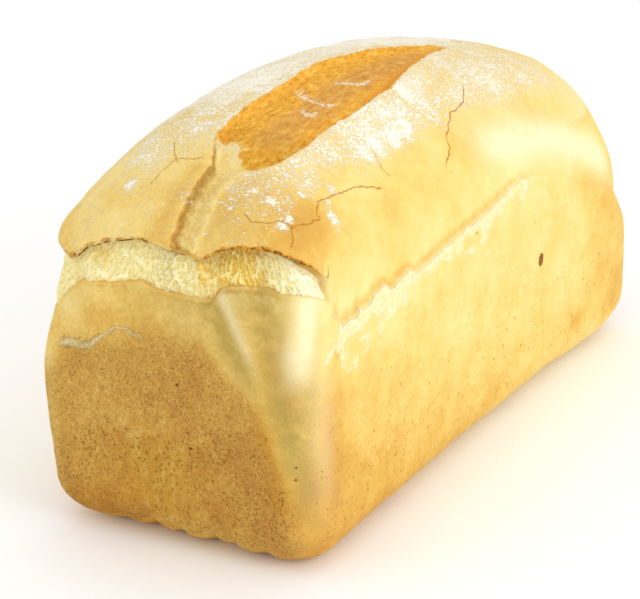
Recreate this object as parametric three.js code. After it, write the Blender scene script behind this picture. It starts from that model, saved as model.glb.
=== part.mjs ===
// A tin loaf: a white bread baked in an open tin, as one solid.
// Millimetres, +Z up. The loaf stands on z = 0 with its length along Y, the end
// where the crust has torn open at -Y, and its origin in the middle of its foot.
//
// The surface is a box grid bent into the loaf. Its top face becomes the crown,
// its four sides become the rows of the wall from the crown's edge down to the
// foot, and its bottom face becomes the flat base.
import * as THREE from "three";

// ---- driving dimensions -------------------------------------------------
const HALF_WIDTH = 57; // at the tin's rim
const NEAR_END = 122; // from the working origin to the torn end, at the rim
const FAR_END = 127; // and to the other end
const CENTRE_Y = 4.3; // moves the loaf so that its box is centred
const CORNER = 16; // plan radius of the rim's corners
const NEAR_CORNER = 12; // plan radius of the torn end's two corners
const FAR_CORNER = 20;
const FOOT_CORNER = 9;
const FOOT_ROUND = 18; // radius from the walls into the base
const NEAR_TAPER = 2.7; // how far the tin's walls lean in by the base
const SIDE_TAPER = 1.8;
const PINCH = 1.2; // the long sides pulled in at mid length
const SPLAY = 2.8; // and swelling out at the far end
const FAR_SWELL = 4.2;
const FAR_LEAN = 9.4; // how far the far end rounds in below its crown
const LEFT_LEAN = 9; // the same at the torn end's left corner
const LEFT_SWELL = 0.8; // and how far that corner swells below
const SIDE_LEAN = 1.8; // how far the long sides round in at the far end
const CROWN_BASE = 78; // height that the crown's arches spring from
const CROWN_SHIFT = -3.4; // the ridge lies a little left of the middle
const CROWN_P = 2.7; // exponents of the arch across the loaf
const CROWN_Q = 1.63;
const RING_HALF_WIDTH = 45; // outline where the crown hands over to the wall
const RING_NEAR = 113;
const RING_FAR = 106;
const RING_CORNER = 26;
const SLASH_WALL = 2.4; // width of the slash's steep left wall
const RIM_LEDGE = 1.5; // step where the dough left the tin

// Height of the crown's ridge along the loaf: [y, z].
const RIDGE = [
  [-135, 105.5], [-122, 113.5], [-100, 127.9], [-70, 136.6], [-40, 141],
  [-10, 142.2], [15, 140], [45, 134.8], [75, 128], [100, 120.5], [118, 113], [140, 94],
];
// How much higher than the arch the crown stands behind the torn end: [x, lift].
const LOBES = [
  [-52, -2], [-44, -1], [-32, 0], [-20, 1], [-6, 2], [6, 1], [14, 1.5], [25, 6.5], [36, 11.5],
  [45, 14.5], [54, 16],
];
const LOBE_END = 113; // they keep that height as far in from the end as this
const LOBE_LENGTH = 36; // and die out over this much more
// The slash and the scar it opened into: [y, left edge x, right edge x, depth].
const SLASH = [
  [-130, 4, 13.5, 3.2], [-120, 4.1, 13.4, 3.4], [-108, 2.6, 12.4, 3.6], [-98, 2, 11.3, 3.4],
  [-90, 1.3, 12.6, 3], [-84, 0.6, 17, 2.6], [-76, -2, 21.8, 2.3], [-66, -5, 23, 2.2],
  [-50, -6.2, 25, 2.2], [-30, -5.6, 25.8, 2.2], [-8, -5.3, 25, 2.2], [10, -3, 21.5, 2.1],
  [32, 0.5, 17, 1.7], [50, 3, 13, 1], [64, 4.5, 11, 0.3], [76, 4.5, 11, 0], [130, 4.5, 11, 0],
];

// Curves round the loaf. Each row is [side, coordinate, value]: side N is the
// torn end (coordinate x), R and L the long sides (y), F the far end (x).
const EDGE_HEIGHT = [ // the crown crust's lower edge
  ["N", -44, 103.5], ["N", -38, 104.5], ["N", -32, 106], ["N", -24, 110.4], ["N", -20, 112.2],
  ["N", -6, 114.5], ["N", 4, 113], ["N", 13, 111.4], ["N", 17, 111], ["N", 20, 113],
  ["N", 25, 116.4], ["N", 36, 118], ["N", 44, 117], ["R", -110, 109], ["R", -90, 111],
  ["R", -50, 114], ["R", 0, 116], ["R", 40, 114], ["R", 80, 105], ["F", 40, 91], ["F", 0, 94],
  ["F", -40, 91], ["L", 80, 105], ["L", 30, 114], ["L", -50, 112], ["L", -90, 106], ["L", -108, 102.5],
];
const EDGE_INSET = [ // how far that edge stands inside the rim's outline
  ["N", -44, 7], ["N", -36, 4.6], ["N", -24, 2.6], ["N", 0, 2], ["N", 18, 2.6], ["N", 30, 3],
  ["N", 44, 4.6], ["R", -110, 6.5], ["R", -90, 7], ["R", 0, 7], ["R", 60, 7.5], ["R", 90, 9],
  ["F", 40, 11], ["F", 0, 10], ["F", -40, 11], ["L", 80, 8], ["L", 30, 7], ["L", -50, 7.5],
  ["L", -90, 8.5], ["L", -108, 8.5],
];
const RIM_HEIGHT = [ // where the dough left the tin
  ["N", -44, 84], ["N", -38, 88], ["N", -31, 93], ["N", -23, 96.8], ["N", -7, 99], ["N", 0, 97.6],
  ["N", 9, 96.5], ["N", 17, 98], ["N", 21, 103.6], ["N", 34, 104.6], ["N", 44, 103],
  ["R", -112, 85], ["R", -105, 84.8], ["R", -98, 87.3], ["R", -82, 87.5], ["R", -61, 88],
  ["R", -40, 88.3], ["R", -13, 90], ["R", 6, 91], ["R", 22, 93.5], ["R", 32, 94.5], ["R", 60, 88],
  ["R", 90, 74], ["F", 45, 60], ["F", 0, 62], ["F", -45, 60], ["L", 90, 74], ["L", 40, 90],
  ["L", -40, 88], ["L", -90, 84], ["L", -111, 81],
];
const LIP = [ // how deep the tear runs in under the crust's edge
  ["N", -46, 1.4], ["N", -38, 2.6], ["N", -6, 2.8], ["N", 3, 1.6], ["N", 7, 0.4], ["N", 13, 0.4],
  ["N", 18, 3], ["N", 26, 5], ["N", 38, 5.4], ["N", 45, 3.2], ["R", -113, 1.4], ["R", -104, 0.2],
  ["R", -90, 0], ["R", 60, 0], ["F", 0, 0], ["L", 0, 0], ["L", -80, 0], ["L", -104, 0.8],
];
const LEDGE = [ // how proud the wall stands of the band above it, in rim ledges
  ["N", -40, 0.6], ["N", 0, 0.9], ["N", 40, 0.8], ["R", -110, 0.6], ["R", -96, 1], ["R", 20, 1],
  ["R", 38, 0.4], ["R", 60, 0], ["F", 0, 0], ["L", 60, 0], ["L", 30, 0.8], ["L", -80, 1], ["L", -110, 0.5],
];
// Soft folds down the torn end's right corner, where the dough never filled the
// tin: [z, ridge x, valley x, valley depth].
const FOLD = [
  [10, 47, 54, 0], [26, 47, 52, 0.8], [40, 46, 50.5, 1.6], [54, 43.5, 47.2, 2.4],
  [68, 38.8, 45, 3], [82, 33, 43.4, 3.2], [95, 27, 41.5, 2.4], [104, 23, 40, 0.8],
];

// ---- rows of the wall ---------------------------------------------------
const SHOULDER_ROWS = 5; // crown down to the crust's edge
const TEAR_ROWS = 6; // the edge down to the rim
const WALL_ROWS = 8; // the rim down to the foot's rounding
const FOOT_ROWS = 5;
const BAND_ROWS = SHOULDER_ROWS + TEAR_ROWS;
const ROWS = BAND_ROWS + WALL_ROWS + FOOT_ROWS;
// Columns across.
const ACROSS = [7, 1, 1, 2, 1, 1, 6]; // in the seven stretches of acrossLine
const COLUMNS = ACROSS.reduce((a, b) => a + b, 0);
const ALONG = 36;

// ---- small helpers ------------------------------------------------------
const clamp = (x, a, b) => Math.min(Math.max(x, a), b);
const mix = (a, b, t) => a + (b - a) * t;
const smooth = (a, b, x) => {
  const t = clamp((x - a) / (b - a), 0, 1);
  return t * t * (3 - 2 * t);
};
const bell = (centre, width, x) => Math.exp(-(((x - centre) / width) ** 2));

// A curve through points (xs, ys) that never overshoots them: a piecewise cubic
// whose slope at a point is the weighted harmonic mean of its neighbours' slopes.
function curve(xs, ys) {
  const n = xs.length;
  const h = xs.slice(1).map((x, i) => x - xs[i]);
  const s = h.map((d, i) => (ys[i + 1] - ys[i]) / d);
  const m = ys.map((_, i) => {
    if (i === 0) return s[0];
    if (i === n - 1) return s[n - 2];
    if (s[i - 1] * s[i] <= 0) return 0;
    const a = 2 * h[i] + h[i - 1];
    const b = h[i] + 2 * h[i - 1];
    return (a + b) / (a / s[i - 1] + b / s[i]);
  });
  return (x) => {
    const c = clamp(x, xs[0], xs[n - 1]);
    let i = 0;
    while (i < n - 2 && c > xs[i + 1]) i++;
    const t = (c - xs[i]) / h[i];
    const u = t * t * (3 - 2 * t);
    return (
      mix(ys[i], ys[i + 1], u) +
      h[i] * (m[i] * t * (1 - t) * (1 - t) - m[i + 1] * t * t * (1 - t))
    );
  };
}

// ---- plan of the loaf ---------------------------------------------------
const ARC = (Math.PI * CORNER) / 2;
const END_RUN = 2 * (HALF_WIDTH - CORNER);
const SIDE_RUN = NEAR_END + FAR_END - 2 * CORNER;
const AROUND = 2 * (END_RUN + SIDE_RUN) + 4 * ARC;

// Distance round the rim's outline from the middle of the torn end, growing
// towards the right, of a place named by its side.
function placeOf(side, c) {
  const run = END_RUN / 2 + ARC + (c + NEAR_END - CORNER);
  if (side === "N") return c;
  if (side === "R") return run;
  if (side === "L") return -run;
  return AROUND / 2 - c;
}

// A table of rows as a curve that closes on itself round the loaf.
function roundTheLoaf(rows) {
  const wrap = (s) => ((s % AROUND) + AROUND) % AROUND;
  const sorted = rows
    .map(([side, c, v]) => [wrap(placeOf(side, c)), v])
    .sort((p, q) => p[0] - q[0]);
  const xs = [];
  const ys = [];
  for (const turn of [-1, 0, 1])
    for (const [s, v] of sorted) {
      xs.push(s + turn * AROUND);
      ys.push(v);
    }
  const f = curve(xs, ys);
  return (s) => f(wrap(s));
}

// The unit square bent into a rounded rectangle: a point in a corner's square is
// drawn onto that corner's arcs.
function inPlan(bx, by, halfWidth, near, far, corner) {
  const half = by < 0 ? near : far;
  const x = halfWidth * Math.abs(bx);
  const y = half * Math.abs(by);
  const dx = x - (halfWidth - corner);
  const dy = y - (half - corner);
  let px = x;
  let py = y;
  if (dx > 0 && dy > 0) {
    const k = Math.max(dx, dy) / Math.hypot(dx, dy);
    px = halfWidth - corner + dx * k;
    py = half - corner + dy * k;
  }
  return [Math.sign(bx) * px, Math.sign(by) * py];
}

// Distance round the rim's outline of a point on it.
function placeAt(x, y) {
  const half = y > 0 ? FAR_END : NEAR_END;
  const ax = Math.abs(x) - (HALF_WIDTH - CORNER);
  const ay = Math.abs(y) - (half - CORNER);
  let s;
  if (ax > 0 && ay > 0) s = END_RUN / 2 + CORNER * Math.atan2(ax, ay);
  else if (ay > 0) s = Math.abs(x);
  else s = END_RUN / 2 + ARC + (half - CORNER - Math.abs(y));
  if (y > 0) s = AROUND / 2 - s;
  return x < 0 ? -s : s;
}

const edgeHeight = roundTheLoaf(EDGE_HEIGHT);
const edgeInset = roundTheLoaf(EDGE_INSET);
const rimHeight = roundTheLoaf(RIM_HEIGHT);
const lipDepth = roundTheLoaf(LIP);
const ledgeDepth = roundTheLoaf(LEDGE);
const column = (table, k) => curve(table.map((r) => r[0]), table.map((r) => r[k]));
const ridgeHeight = column(RIDGE, 1);
const slashLeft = column(SLASH, 1);
const slashRight = column(SLASH, 2);
const slashDepth = column(SLASH, 3);
const foldRidge = column(FOLD, 1);
const foldValley = column(FOLD, 2);
const foldDepth = column(FOLD, 3);
const lobe = column(LOBES, 1);

// ---- the crown ----------------------------------------------------------
// An arch (1 - |x / w|^p)^(1/q) across the loaf, as high as the ridge, with the
// two lobes that the slash leaves at the torn end.
function arch(x, y) {
  const w = HALF_WIDTH + 1.5 + Math.abs(CROWN_SHIFT);
  const u = clamp(Math.abs(x - CROWN_SHIFT) / w, 0, 0.9999);
  const rise = (1 - u ** CROWN_P) ** (1 / CROWN_Q);
  const lift = lobe(x) * bell(-LOBE_END, LOBE_LENGTH, Math.max(y, -LOBE_END));
  return CROWN_BASE + (ridgeHeight(y) - CROWN_BASE) * rise + lift;
}

// Depth of the slash below the arch: a steep wall at its left edge, an even
// floor, and at its right edge a soft rise by the tear that steepens along the
// scar. Both crust edges stand up a little.
function slash(x, y) {
  const left = slashLeft(y);
  const right = slashRight(y);
  const scar = smooth(-92, -78, y);
  const rise = mix(0.55 * (right - left), 2.6, scar);
  const into = smooth(left, left + mix(SLASH_WALL, 3.2, scar), x);
  const outOf = smooth(right - rise, right, x);
  const crests = 0.9 * bell(left - 2, 3.2, x) * mix(1, 0.3, scar) + 1.1 * bell(right + 2.4, 4, x) * scar;
  return slashDepth(y) * (into * (1 - outOf) - 0.42 * crests);
}

const crown = (x, y) => arch(x, y) - slash(x, y);

// ---- the walls ----------------------------------------------------------
const nearLeft = (s) => (s < 0 ? smooth(28, 44, -s) * (1 - smooth(80, 160, -s)) : 0);

// How far the wall at height z stands inside the rim's outline.
function wallInset(s, z, x, y) {
  const side = smooth(HALF_WIDTH - 0.9 * CORNER, HALF_WIDTH - 1, Math.abs(x));
  const near = smooth(NEAR_END - 0.9 * CORNER, NEAR_END - 1, -y);
  const far = smooth(FAR_END - 0.9 * CORNER, FAR_END - 1, y);
  let d = side * (1 - z / 90) * SIDE_TAPER + near * (1 - z / 95) * NEAR_TAPER;
  d += side * PINCH * bell(0, 70, y) * (1 - clamp((z - 60) / 60, 0, 1));
  d += nearLeft(s) * (LEFT_LEAN * smooth(48, 108, z) - LEFT_SWELL * (1 - smooth(60, 95, z)));
  d += side * SIDE_LEAN * smooth(40, 110, y) * smooth(60, 90, z);
  d -= side * SPLAY * smooth(60, 115, y) * (1 - smooth(45, 75, z));
  d -= far * FAR_SWELL * (1 - smooth(40, 70, z));
  d += far * FAR_LEAN * smooth(55, 95, z);
  if (s > 0 && s < 70) {
    const ridge = foldRidge(z);
    const valley = foldValley(z);
    d += foldDepth(z) * bell(valley, 6.5, s);
    d -= 0.22 * foldDepth(z) * bell(ridge, 3.5, s);
  }
  return d;
}

// Point of the wall in column (bx, by), row k of ROWS.
function wallPoint(bx, by, k) {
  const [rx, ry] = inPlan(bx, by, HALF_WIDTH, NEAR_END, FAR_END, CORNER);
  const s = placeAt(rx, ry);
  const inset = (d, z) => {
    const corner = by < 0 ? NEAR_CORNER : FAR_CORNER - 1.5 * smooth(50, 95, z);
    return inPlan(bx, by, HALF_WIDTH - d, NEAR_END - d, FAR_END - d, Math.max(corner - 0.35 * d, 4));
  };
  const zr = rimHeight(s);
  if (k <= BAND_ROWS) {
    const soft = softShoulder(bx, by, k / BAND_ROWS, s, rx, ry, inset);
    const torn = smooth(0.15, 1.3, lipDepth(s));
    if (torn === 0 || k === 0) return soft;
    const lip = tornEdge(bx, by, k, s, rx, ry, inset);
    return lip.map((v, n) => mix(soft[n], v, torn));
  }
  if (k <= BAND_ROWS + WALL_ROWS) {
    const z = mix(zr - 0.4, FOOT_ROUND, (k - BAND_ROWS - 1) / (WALL_ROWS - 1));
    const [x, y] = inset(wallInset(s, z, rx, ry), z);
    return [x, y, z];
  }
  const turn = (Math.PI / 2) * ((k - BAND_ROWS - WALL_ROWS) / FOOT_ROWS);
  return footPoint(bx, by, s, rx, ry, turn);
}

// Where column (bx, by) leaves the crown, and its way out from there.
function ringPoint(bx, by, to) {
  const [cx, cy] = inPlan(bx, by, RING_HALF_WIDTH, RING_NEAR, RING_FAR, RING_CORNER);
  const run = Math.hypot(to[0] - cx, to[1] - cy);
  const ux = (to[0] - cx) / run;
  const uy = (to[1] - cy) / run;
  const slope = arch(cx + ux / 2, cy + uy / 2) - arch(cx - ux / 2, cy - uy / 2);
  return { cx, cy, run, ux, uy, slope, z: arch(cx, cy) };
}

// A round shoulder from the crown to the ledge above the rim: one Bezier curve
// that starts along the crown's slope and ends upright.
function softShoulder(bx, by, t, s, rx, ry, inset) {
  const zr = rimHeight(s);
  const ledge = RIM_LEDGE * ledgeDepth(s);
  const end = inset(wallInset(s, zr, rx, ry) + ledge, zr);
  const from = ringPoint(bx, by, end);
  const ze = zr + 0.7 * ledge;
  const meet = Math.max(from.z + from.slope * from.run, ze + 2);
  const u = 1 - t;
  const out = from.run * (3 * u * u * t * 0.55 + 3 * u * t * t + t * t * t);
  const z =
    u * u * u * from.z +
    3 * u * u * t * mix(from.z, meet, 0.55) +
    3 * u * t * t * mix(ze, meet, 0.55) +
    t * t * t * ze;
  return [...cutSlash(from, out, z, t)];
}

// The slash carried over the crown's end.
function cutSlash(from, out, z, t) {
  const x = from.cx + from.ux * out;
  const y = from.cy + from.uy * out;
  const cut = y < -80 ? slash(x, y) : slash(from.cx, from.cy) * (1 - t);
  return [x - 0.6 * t * cut * from.ux, y - 0.6 * t * cut * from.uy, z - cut * (1 - 0.4 * t)];
}

// The torn edge: crust rolling over to its lower edge, the tear running in
// under it, and the torn band coming down and out to the ledge above the rim.
function tornEdge(bx, by, k, s, rx, ry, inset) {
  const ze = edgeHeight(s);
  const de = edgeInset(s);
  const zr = rimHeight(s);
  if (k <= SHOULDER_ROWS) {
    const t = k / SHOULDER_ROWS;
    const from = ringPoint(bx, by, inset(de, ze));
    const fall = Math.max(from.z - ze, 4);
    const h01 = t * t * (3 - 2 * t);
    const h10 = t * (1 - t) * (1 - t);
    const h11 = -t * t * (1 - t);
    const out = from.run * (1.2 * h10 + h01 + 0.25 * h11);
    const z = mix(from.z, ze, h01) + 1.2 * from.run * from.slope * h10 - 1.5 * fall * h11;
    return cutSlash(from, out, z, t);
  }
  const t = (k - SHOULDER_ROWS - 0.35) / (TEAR_ROWS - 0.35);
  const ledge = RIM_LEDGE * ledgeDepth(s);
  const lip = lipDepth(s) * clamp(t / 0.1, 0, 1) * (1 - t) ** 1.15;
  const dr = wallInset(s, zr, rx, ry);
  const d = mix(de, dr + ledge, 1 - (1 - t) ** 1.6) + lip;
  const [x, y] = inset(d, mix(ze, zr, t));
  const under = k === SHOULDER_ROWS + 1 ? 0.25 * lipDepth(s) : 0;
  return [x, y, mix(ze - 1.2, zr + 0.7 * ledge, t) + under];
}

// The quarter round from the wall into the base, turned by an angle.
function footPoint(bx, by, s, rx, ry, turn) {
  const d0 = wallInset(s, FOOT_ROUND, rx, ry);
  const d = d0 + FOOT_ROUND * (1 - Math.cos(turn));
  const own = by < 0 ? NEAR_CORNER : FAR_CORNER;
  const corner = Math.max(own - 0.35 * d0 + (FOOT_CORNER - NEAR_CORNER) * Math.sin(turn), 4);
  const [x, y] = inPlan(bx, by, HALF_WIDTH - d, NEAR_END - d, FAR_END - d, corner);
  return [x, y, FOOT_ROUND * (1 - Math.sin(turn))];
}

// ---- the grid -----------------------------------------------------------
// Column lines across the loaf, bunched along both edges of the slash.
function acrossLine(i, y) {
  const left = slashLeft(y);
  const right = slashRight(y);
  const stops = [
    -RING_HALF_WIDTH, left - 4.5, left, left + SLASH_WALL, right - 2.6, right, right + 5, RING_HALF_WIDTH,
  ];
  let from = 0;
  for (let k = 0; k < ACROSS.length; k++) {
    if (i <= from + ACROSS[k]) {
      let t = (i - from) / ACROSS[k];
      if (k === 0) t = t ** 1.3; // closer together round the corners
      if (k === ACROSS.length - 1) t = 1 - (1 - t) ** 1.3;
      return mix(stops[k], stops[k + 1], t) / RING_HALF_WIDTH;
    }
    from += ACROSS[k];
  }
  return 1;
}

// Row lines along the loaf, closer together at both ends.
const alongLine = (j) => {
  const v = (2 * j) / ALONG - 1;
  return v + 0.12 * Math.sin(Math.PI * v);
};

function loafGeometry() {
  const box = new THREE.BoxGeometry(2, 2, 2, COLUMNS, ALONG, ROWS);
  const p = box.getAttribute("position");
  for (let n = 0; n < p.count; n++) {
    const i = Math.round(((p.getX(n) + 1) / 2) * COLUMNS);
    const j = Math.round(((p.getY(n) + 1) / 2) * ALONG);
    const k = Math.round(((1 - p.getZ(n)) / 2) * ROWS);
    const by = alongLine(j);
    const bx = acrossLine(i, by * (by < 0 ? RING_NEAR : RING_FAR));
    const onSide = i === 0 || i === COLUMNS || j === 0 || j === ALONG;
    let q;
    if (onSide) q = wallPoint(bx, by, k);
    else if (k === 0) {
      const [x, y] = inPlan(bx, by, RING_HALF_WIDTH, RING_NEAR, RING_FAR, RING_CORNER);
      q = [x, y, crown(x, y)];
    } else {
      // the base: the foot's outline drawn in towards the middle
      const m = Math.max(Math.abs(bx), Math.abs(by));
      const [rx, ry] = inPlan(bx / (m || 1), by / (m || 1), HALF_WIDTH, NEAR_END, FAR_END, CORNER);
      const [x, y] = m
        ? footPoint(bx / m, by / m, placeAt(rx, ry), rx, ry, Math.PI / 2)
        : [0, 0];
      q = [x * m, y * m, 0];
    }
    p.setXYZ(n, q[0], q[1] - CENTRE_Y, Math.max(q[2], 0));
  }
  box.computeVertexNormals();
  return box;
}

const crust = new THREE.MeshStandardMaterial({ color: 0xe6b970, roughness: 0.75, metalness: 0 });

const group = new THREE.Group();
const loaf = new THREE.Mesh(loafGeometry(), crust);
loaf.name = "loaf";
group.add(loaf);

export default group;
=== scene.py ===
# %% [markdown]
# # A tin loaf
# A white loaf baked in an open tin. The tin gave it a flat foot and straight
# walls; above the rim the dough swelled into a dome, was floured and slashed, and
# tore open at one end. This script dresses the plain solid with a fine crust.
#
# The first cell opens the frame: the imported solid, in metres, whose box the
# finished loaf has to keep to.

import math

import bpy
import mathutils
import numpy as np
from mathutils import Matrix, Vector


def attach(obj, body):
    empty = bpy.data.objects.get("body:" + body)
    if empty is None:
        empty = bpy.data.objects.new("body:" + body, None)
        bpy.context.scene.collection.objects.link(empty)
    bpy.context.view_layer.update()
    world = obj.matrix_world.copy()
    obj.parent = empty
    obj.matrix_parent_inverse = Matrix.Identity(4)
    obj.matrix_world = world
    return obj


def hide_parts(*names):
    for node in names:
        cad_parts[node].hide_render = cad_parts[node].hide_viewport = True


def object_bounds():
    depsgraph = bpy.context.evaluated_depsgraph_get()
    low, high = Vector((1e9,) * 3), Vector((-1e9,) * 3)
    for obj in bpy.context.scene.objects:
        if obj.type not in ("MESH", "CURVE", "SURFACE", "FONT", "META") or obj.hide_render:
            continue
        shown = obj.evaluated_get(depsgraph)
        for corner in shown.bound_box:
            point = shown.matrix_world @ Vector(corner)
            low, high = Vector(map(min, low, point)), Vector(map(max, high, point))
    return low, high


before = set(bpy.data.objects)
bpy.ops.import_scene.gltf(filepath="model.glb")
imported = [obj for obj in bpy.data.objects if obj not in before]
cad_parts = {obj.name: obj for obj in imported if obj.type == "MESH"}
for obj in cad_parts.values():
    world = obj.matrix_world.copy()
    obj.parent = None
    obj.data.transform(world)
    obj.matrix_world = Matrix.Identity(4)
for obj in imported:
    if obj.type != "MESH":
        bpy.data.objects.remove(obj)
CAD_BOX = [list(corner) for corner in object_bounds()]
MM = 0.001
print("solid's box in mm:", [[round(v / MM, 1) for v in corner] for corner in CAD_BOX])

# %% [markdown]
# ## Curves for a baker's measurements
# A loaf has no straight edges, so most of its measurements change along it. Each
# is kept as a few rows of (place, value) with a curve through them. A piecewise
# cubic whose slopes come from its neighbours is used, because unlike a plain
# spline it never swings past the values it is given.


# %% Small helpers and the curve
def mix(a, b, t):
    """a + (b - a) t"""
    return a + (b - a) * t


def smooth(a, b, x):
    """The step 3t^2 - 2t^3, where t runs from 0 at a to 1 at b."""
    t = np.clip((x - a) / (b - a), 0.0, 1.0)
    return t * t * (3.0 - 2.0 * t)


def bell(centre, width, x):
    """A bump of height 1: e to the power of minus ((x - centre) / width) squared."""
    return np.exp(-(((x - centre) / width) ** 2))


def curve(xs, ys):
    """A cubic between each pair of points. The slope at a point is the weighted
    harmonic mean of the slopes on its two sides, or 0 where they differ in sign."""
    xs, ys = np.asarray(xs, float), np.asarray(ys, float)
    h = np.diff(xs)
    s = np.diff(ys) / h
    m = np.concatenate([[s[0]], np.zeros(len(xs) - 2), [s[-1]]])
    same = s[:-1] * s[1:] > 0
    a = (2 * h[1:] + h[:-1])[same]
    b = (h[1:] + 2 * h[:-1])[same]
    m[1:-1][same] = (a + b) / (a / s[:-1][same] + b / s[1:][same])

    def at(x):
        c = np.clip(x, xs[0], xs[-1])
        i = np.clip(np.searchsorted(xs, c) - 1, 0, len(xs) - 2)
        t = (c - xs[i]) / h[i]
        rise = mix(ys[i], ys[i + 1], t * t * (3 - 2 * t))
        return rise + h[i] * (m[i] * t * (1 - t) ** 2 - m[i + 1] * t * t * (1 - t))

    return at


print("a curve through 0, 1 and 4, half way between them:", curve([0, 1, 2], [0, 1, 4])(np.array([0.5, 1.5])))

# %% [markdown]
# ## The loaf's measurements
# These are the solid's own, in millimetres: the rim of the tin, how the walls
# lean, the arch of the crown, and the slash. Keeping the same numbers means that
# the fine crust lies on the solid everywhere.

# %% Tin and crown, in millimetres
HALF_WIDTH, NEAR_END, FAR_END, CORNER = 57.0, 122.0, 127.0, 16.0  # at the rim
CENTRE_Y = 4.3  # from the tin's own origin to the middle of the loaf's box
NEAR_CORNER, FAR_CORNER, FOOT_CORNER, FOOT_ROUND = 12.0, 20.0, 9.0, 18.0  # radii
NEAR_TAPER, SIDE_TAPER, PINCH = 2.7, 1.8, 1.2  # how far the walls lean in, and the sides' waist
SPLAY, FAR_SWELL, FAR_LEAN = 2.8, 4.2, 9.4  # the far half's foot, the far end low down and high up
LEFT_LEAN, LEFT_SWELL, SIDE_LEAN = 9.0, 0.8, 1.8  # the near left corner, the far half's sides
CROWN_BASE, CROWN_SHIFT, CROWN_P, CROWN_Q = 78.0, -3.4, 2.7, 1.63  # the arch and its two powers
RING_HALF_WIDTH, RING_NEAR, RING_FAR, RING_CORNER = 45.0, 113.0, 106.0, 26.0  # the crown's outline
SLASH_WALL, RIM_LEDGE = 1.7, 1.5
LOBE_END, LOBE_LENGTH = 113.0, 36.0  # where the lobes are highest, and how far they reach

# y, height of the crown's ridge
RIDGE = [
    (-135, 105.5), (-122, 113.5), (-100, 127.9), (-70, 136.6), (-40, 141), (-10, 142.2),
    (15, 140), (45, 134.8), (75, 128), (100, 120.5), (118, 113), (140, 94),
]
# x, lift of the two lobes
LOBES = [
    (-52, -2), (-44, -1), (-32, 0), (-20, 1), (-6, 2), (6, 1), (14, 1.5), (25, 6.5),
    (36, 11.5), (45, 14.5), (54, 16),
]
# y, left edge, right edge, depth
SLASH = [
    (-130, 4.6, 14.3, 2.9), (-120, 4.8, 14.4, 3), (-108, 4.2, 13.4, 3.2), (-98, 3.6, 12.8, 3.1),
    (-91, 3.4, 14.6, 2.9), (-86, 0.8, 21.5, 2.5), (-79, -2.8, 24.4, 2.3), (-70, -5.6, 25.2, 2.2),
    (-50, -6.2, 25, 2.2), (-30, -5.6, 25.8, 2.2), (-8, -5.3, 25, 2.2), (10, -3, 21.5, 2.1),
    (32, 0.5, 17, 1.7), (50, 3, 13, 1), (64, 4.5, 11, 0.3), (76, 4.5, 11, 0), (130, 4.5, 11, 0),
]
# z, fold's ridge, fold's valley, depth
FOLD = [
    (10, 47, 54, 0), (26, 47, 52, 0.8), (40, 46, 50.5, 1.6), (54, 43.5, 47.2, 2.4),
    (68, 38.8, 45, 3), (82, 33, 43.4, 3.2), (95, 27, 41.5, 2.4), (104, 23, 40, 0.8),
]
print("rim", 2 * HALF_WIDTH, "by", NEAR_END + FAR_END, "mm, crown", max(z for _, z in RIDGE), "mm high")

# %% [markdown]
# ## Measurements round the loaf
# The edge of the torn crust, how far in it stands, the rim where the dough left
# the tin, the lip's overhang and the ledge above the rim all change on the way
# round. Each side, near, right, far and left, has its places and values.

# %% Measurements round the loaf
EDGE_HEIGHT = {
    "N": [
        (-52, 104.8), (-48.5, 103.6), (-45, 102.6), (-38, 105), (-32, 108.7), (-24, 111.3),
        (-20, 112.8), (-6, 114.9), (4, 113.9), (13, 112.6), (17, 112.2), (20, 113.5), (25, 116.3),
        (36, 118), (44, 118.1), (52, 115.4), (57, 112.7), (61, 109.6), (65, 105.2),
    ],
    "R": [(-103, 100.6), (-97, 96.5), (-90, 96), (-50, 110), (0, 114), (40, 112), (80, 105)],
    "F": [(40, 91), (0, 94), (-40, 91)],
    "L": [
        (80, 105), (30, 114), (-50, 112), (-84, 94), (-91, 91), (-98, 94.6), (-104, 100.5), (-108, 104),
    ],
}
EDGE_INSET = {
    "N": [
        (-44, 7), (-36, 4.6), (-24, 2.6), (0, 2), (18, 2.6), (30, 3), (44, 4.6), (57, 5.2), (65, 3.8),
    ],
    "R": [(-100, 2.6), (-90, 3), (0, 7), (60, 7.5), (90, 9)],
    "F": [(40, 11), (0, 10), (-40, 11)],
    "L": [(80, 8), (30, 7), (-50, 7.5), (-86, 3.5), (-92, 3.2), (-98, 4.4), (-104, 6.6), (-108, 8)],
}
RIM_HEIGHT = {
    "N": [
        (-54, 80.5), (-50.6, 82.8), (-48.4, 85.8), (-44, 90.2), (-38, 93.4), (-31, 94.9), (-23, 96.5),
        (-7, 98.2), (0, 97.2), (9, 96.7), (19.5, 97.4), (23, 101.4), (27, 103.4), (34, 104.4),
        (40, 104.6), (45, 104.4), (50, 104), (54, 103.2), (58, 102.2), (62, 100.6), (65.5, 98.6),
        (68.5, 95), (73, 87.6),
    ],
    "R": [
        (-82, 87.5), (-76, 90.4), (-70, 91.8), (-62, 88.4), (-40, 88.3), (-13, 90), (6, 91), (18, 93),
        (23, 95.6), (32, 94.8), (60, 88), (90, 74),
    ],
    "F": [(45, 60), (0, 62), (-45, 60)],
    "L": [(90, 74), (40, 90), (-40, 88), (-94, 85.4), (-101, 84.5), (-111, 81)],
}
LIP = {
    "N": [
        (-46, 1.4), (-38, 1.5), (-27, 1.9), (-6, 2.5), (2, 1.8), (6, 1.4), (12, 1.4), (17, 2.2),
        (26, 3.6), (38, 3.8), (45, 2.5), (57, 1.6), (62, 1.3),
    ],
    "R": [(-106, 1.0), (-101, 0.5), (-92, 0), (60, 0)],
    "F": [(0, 0)],
    "L": [(0, 0), (-84, 0), (-92, 0.6), (-98, 1.2), (-104, 1.4)],
}
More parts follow.
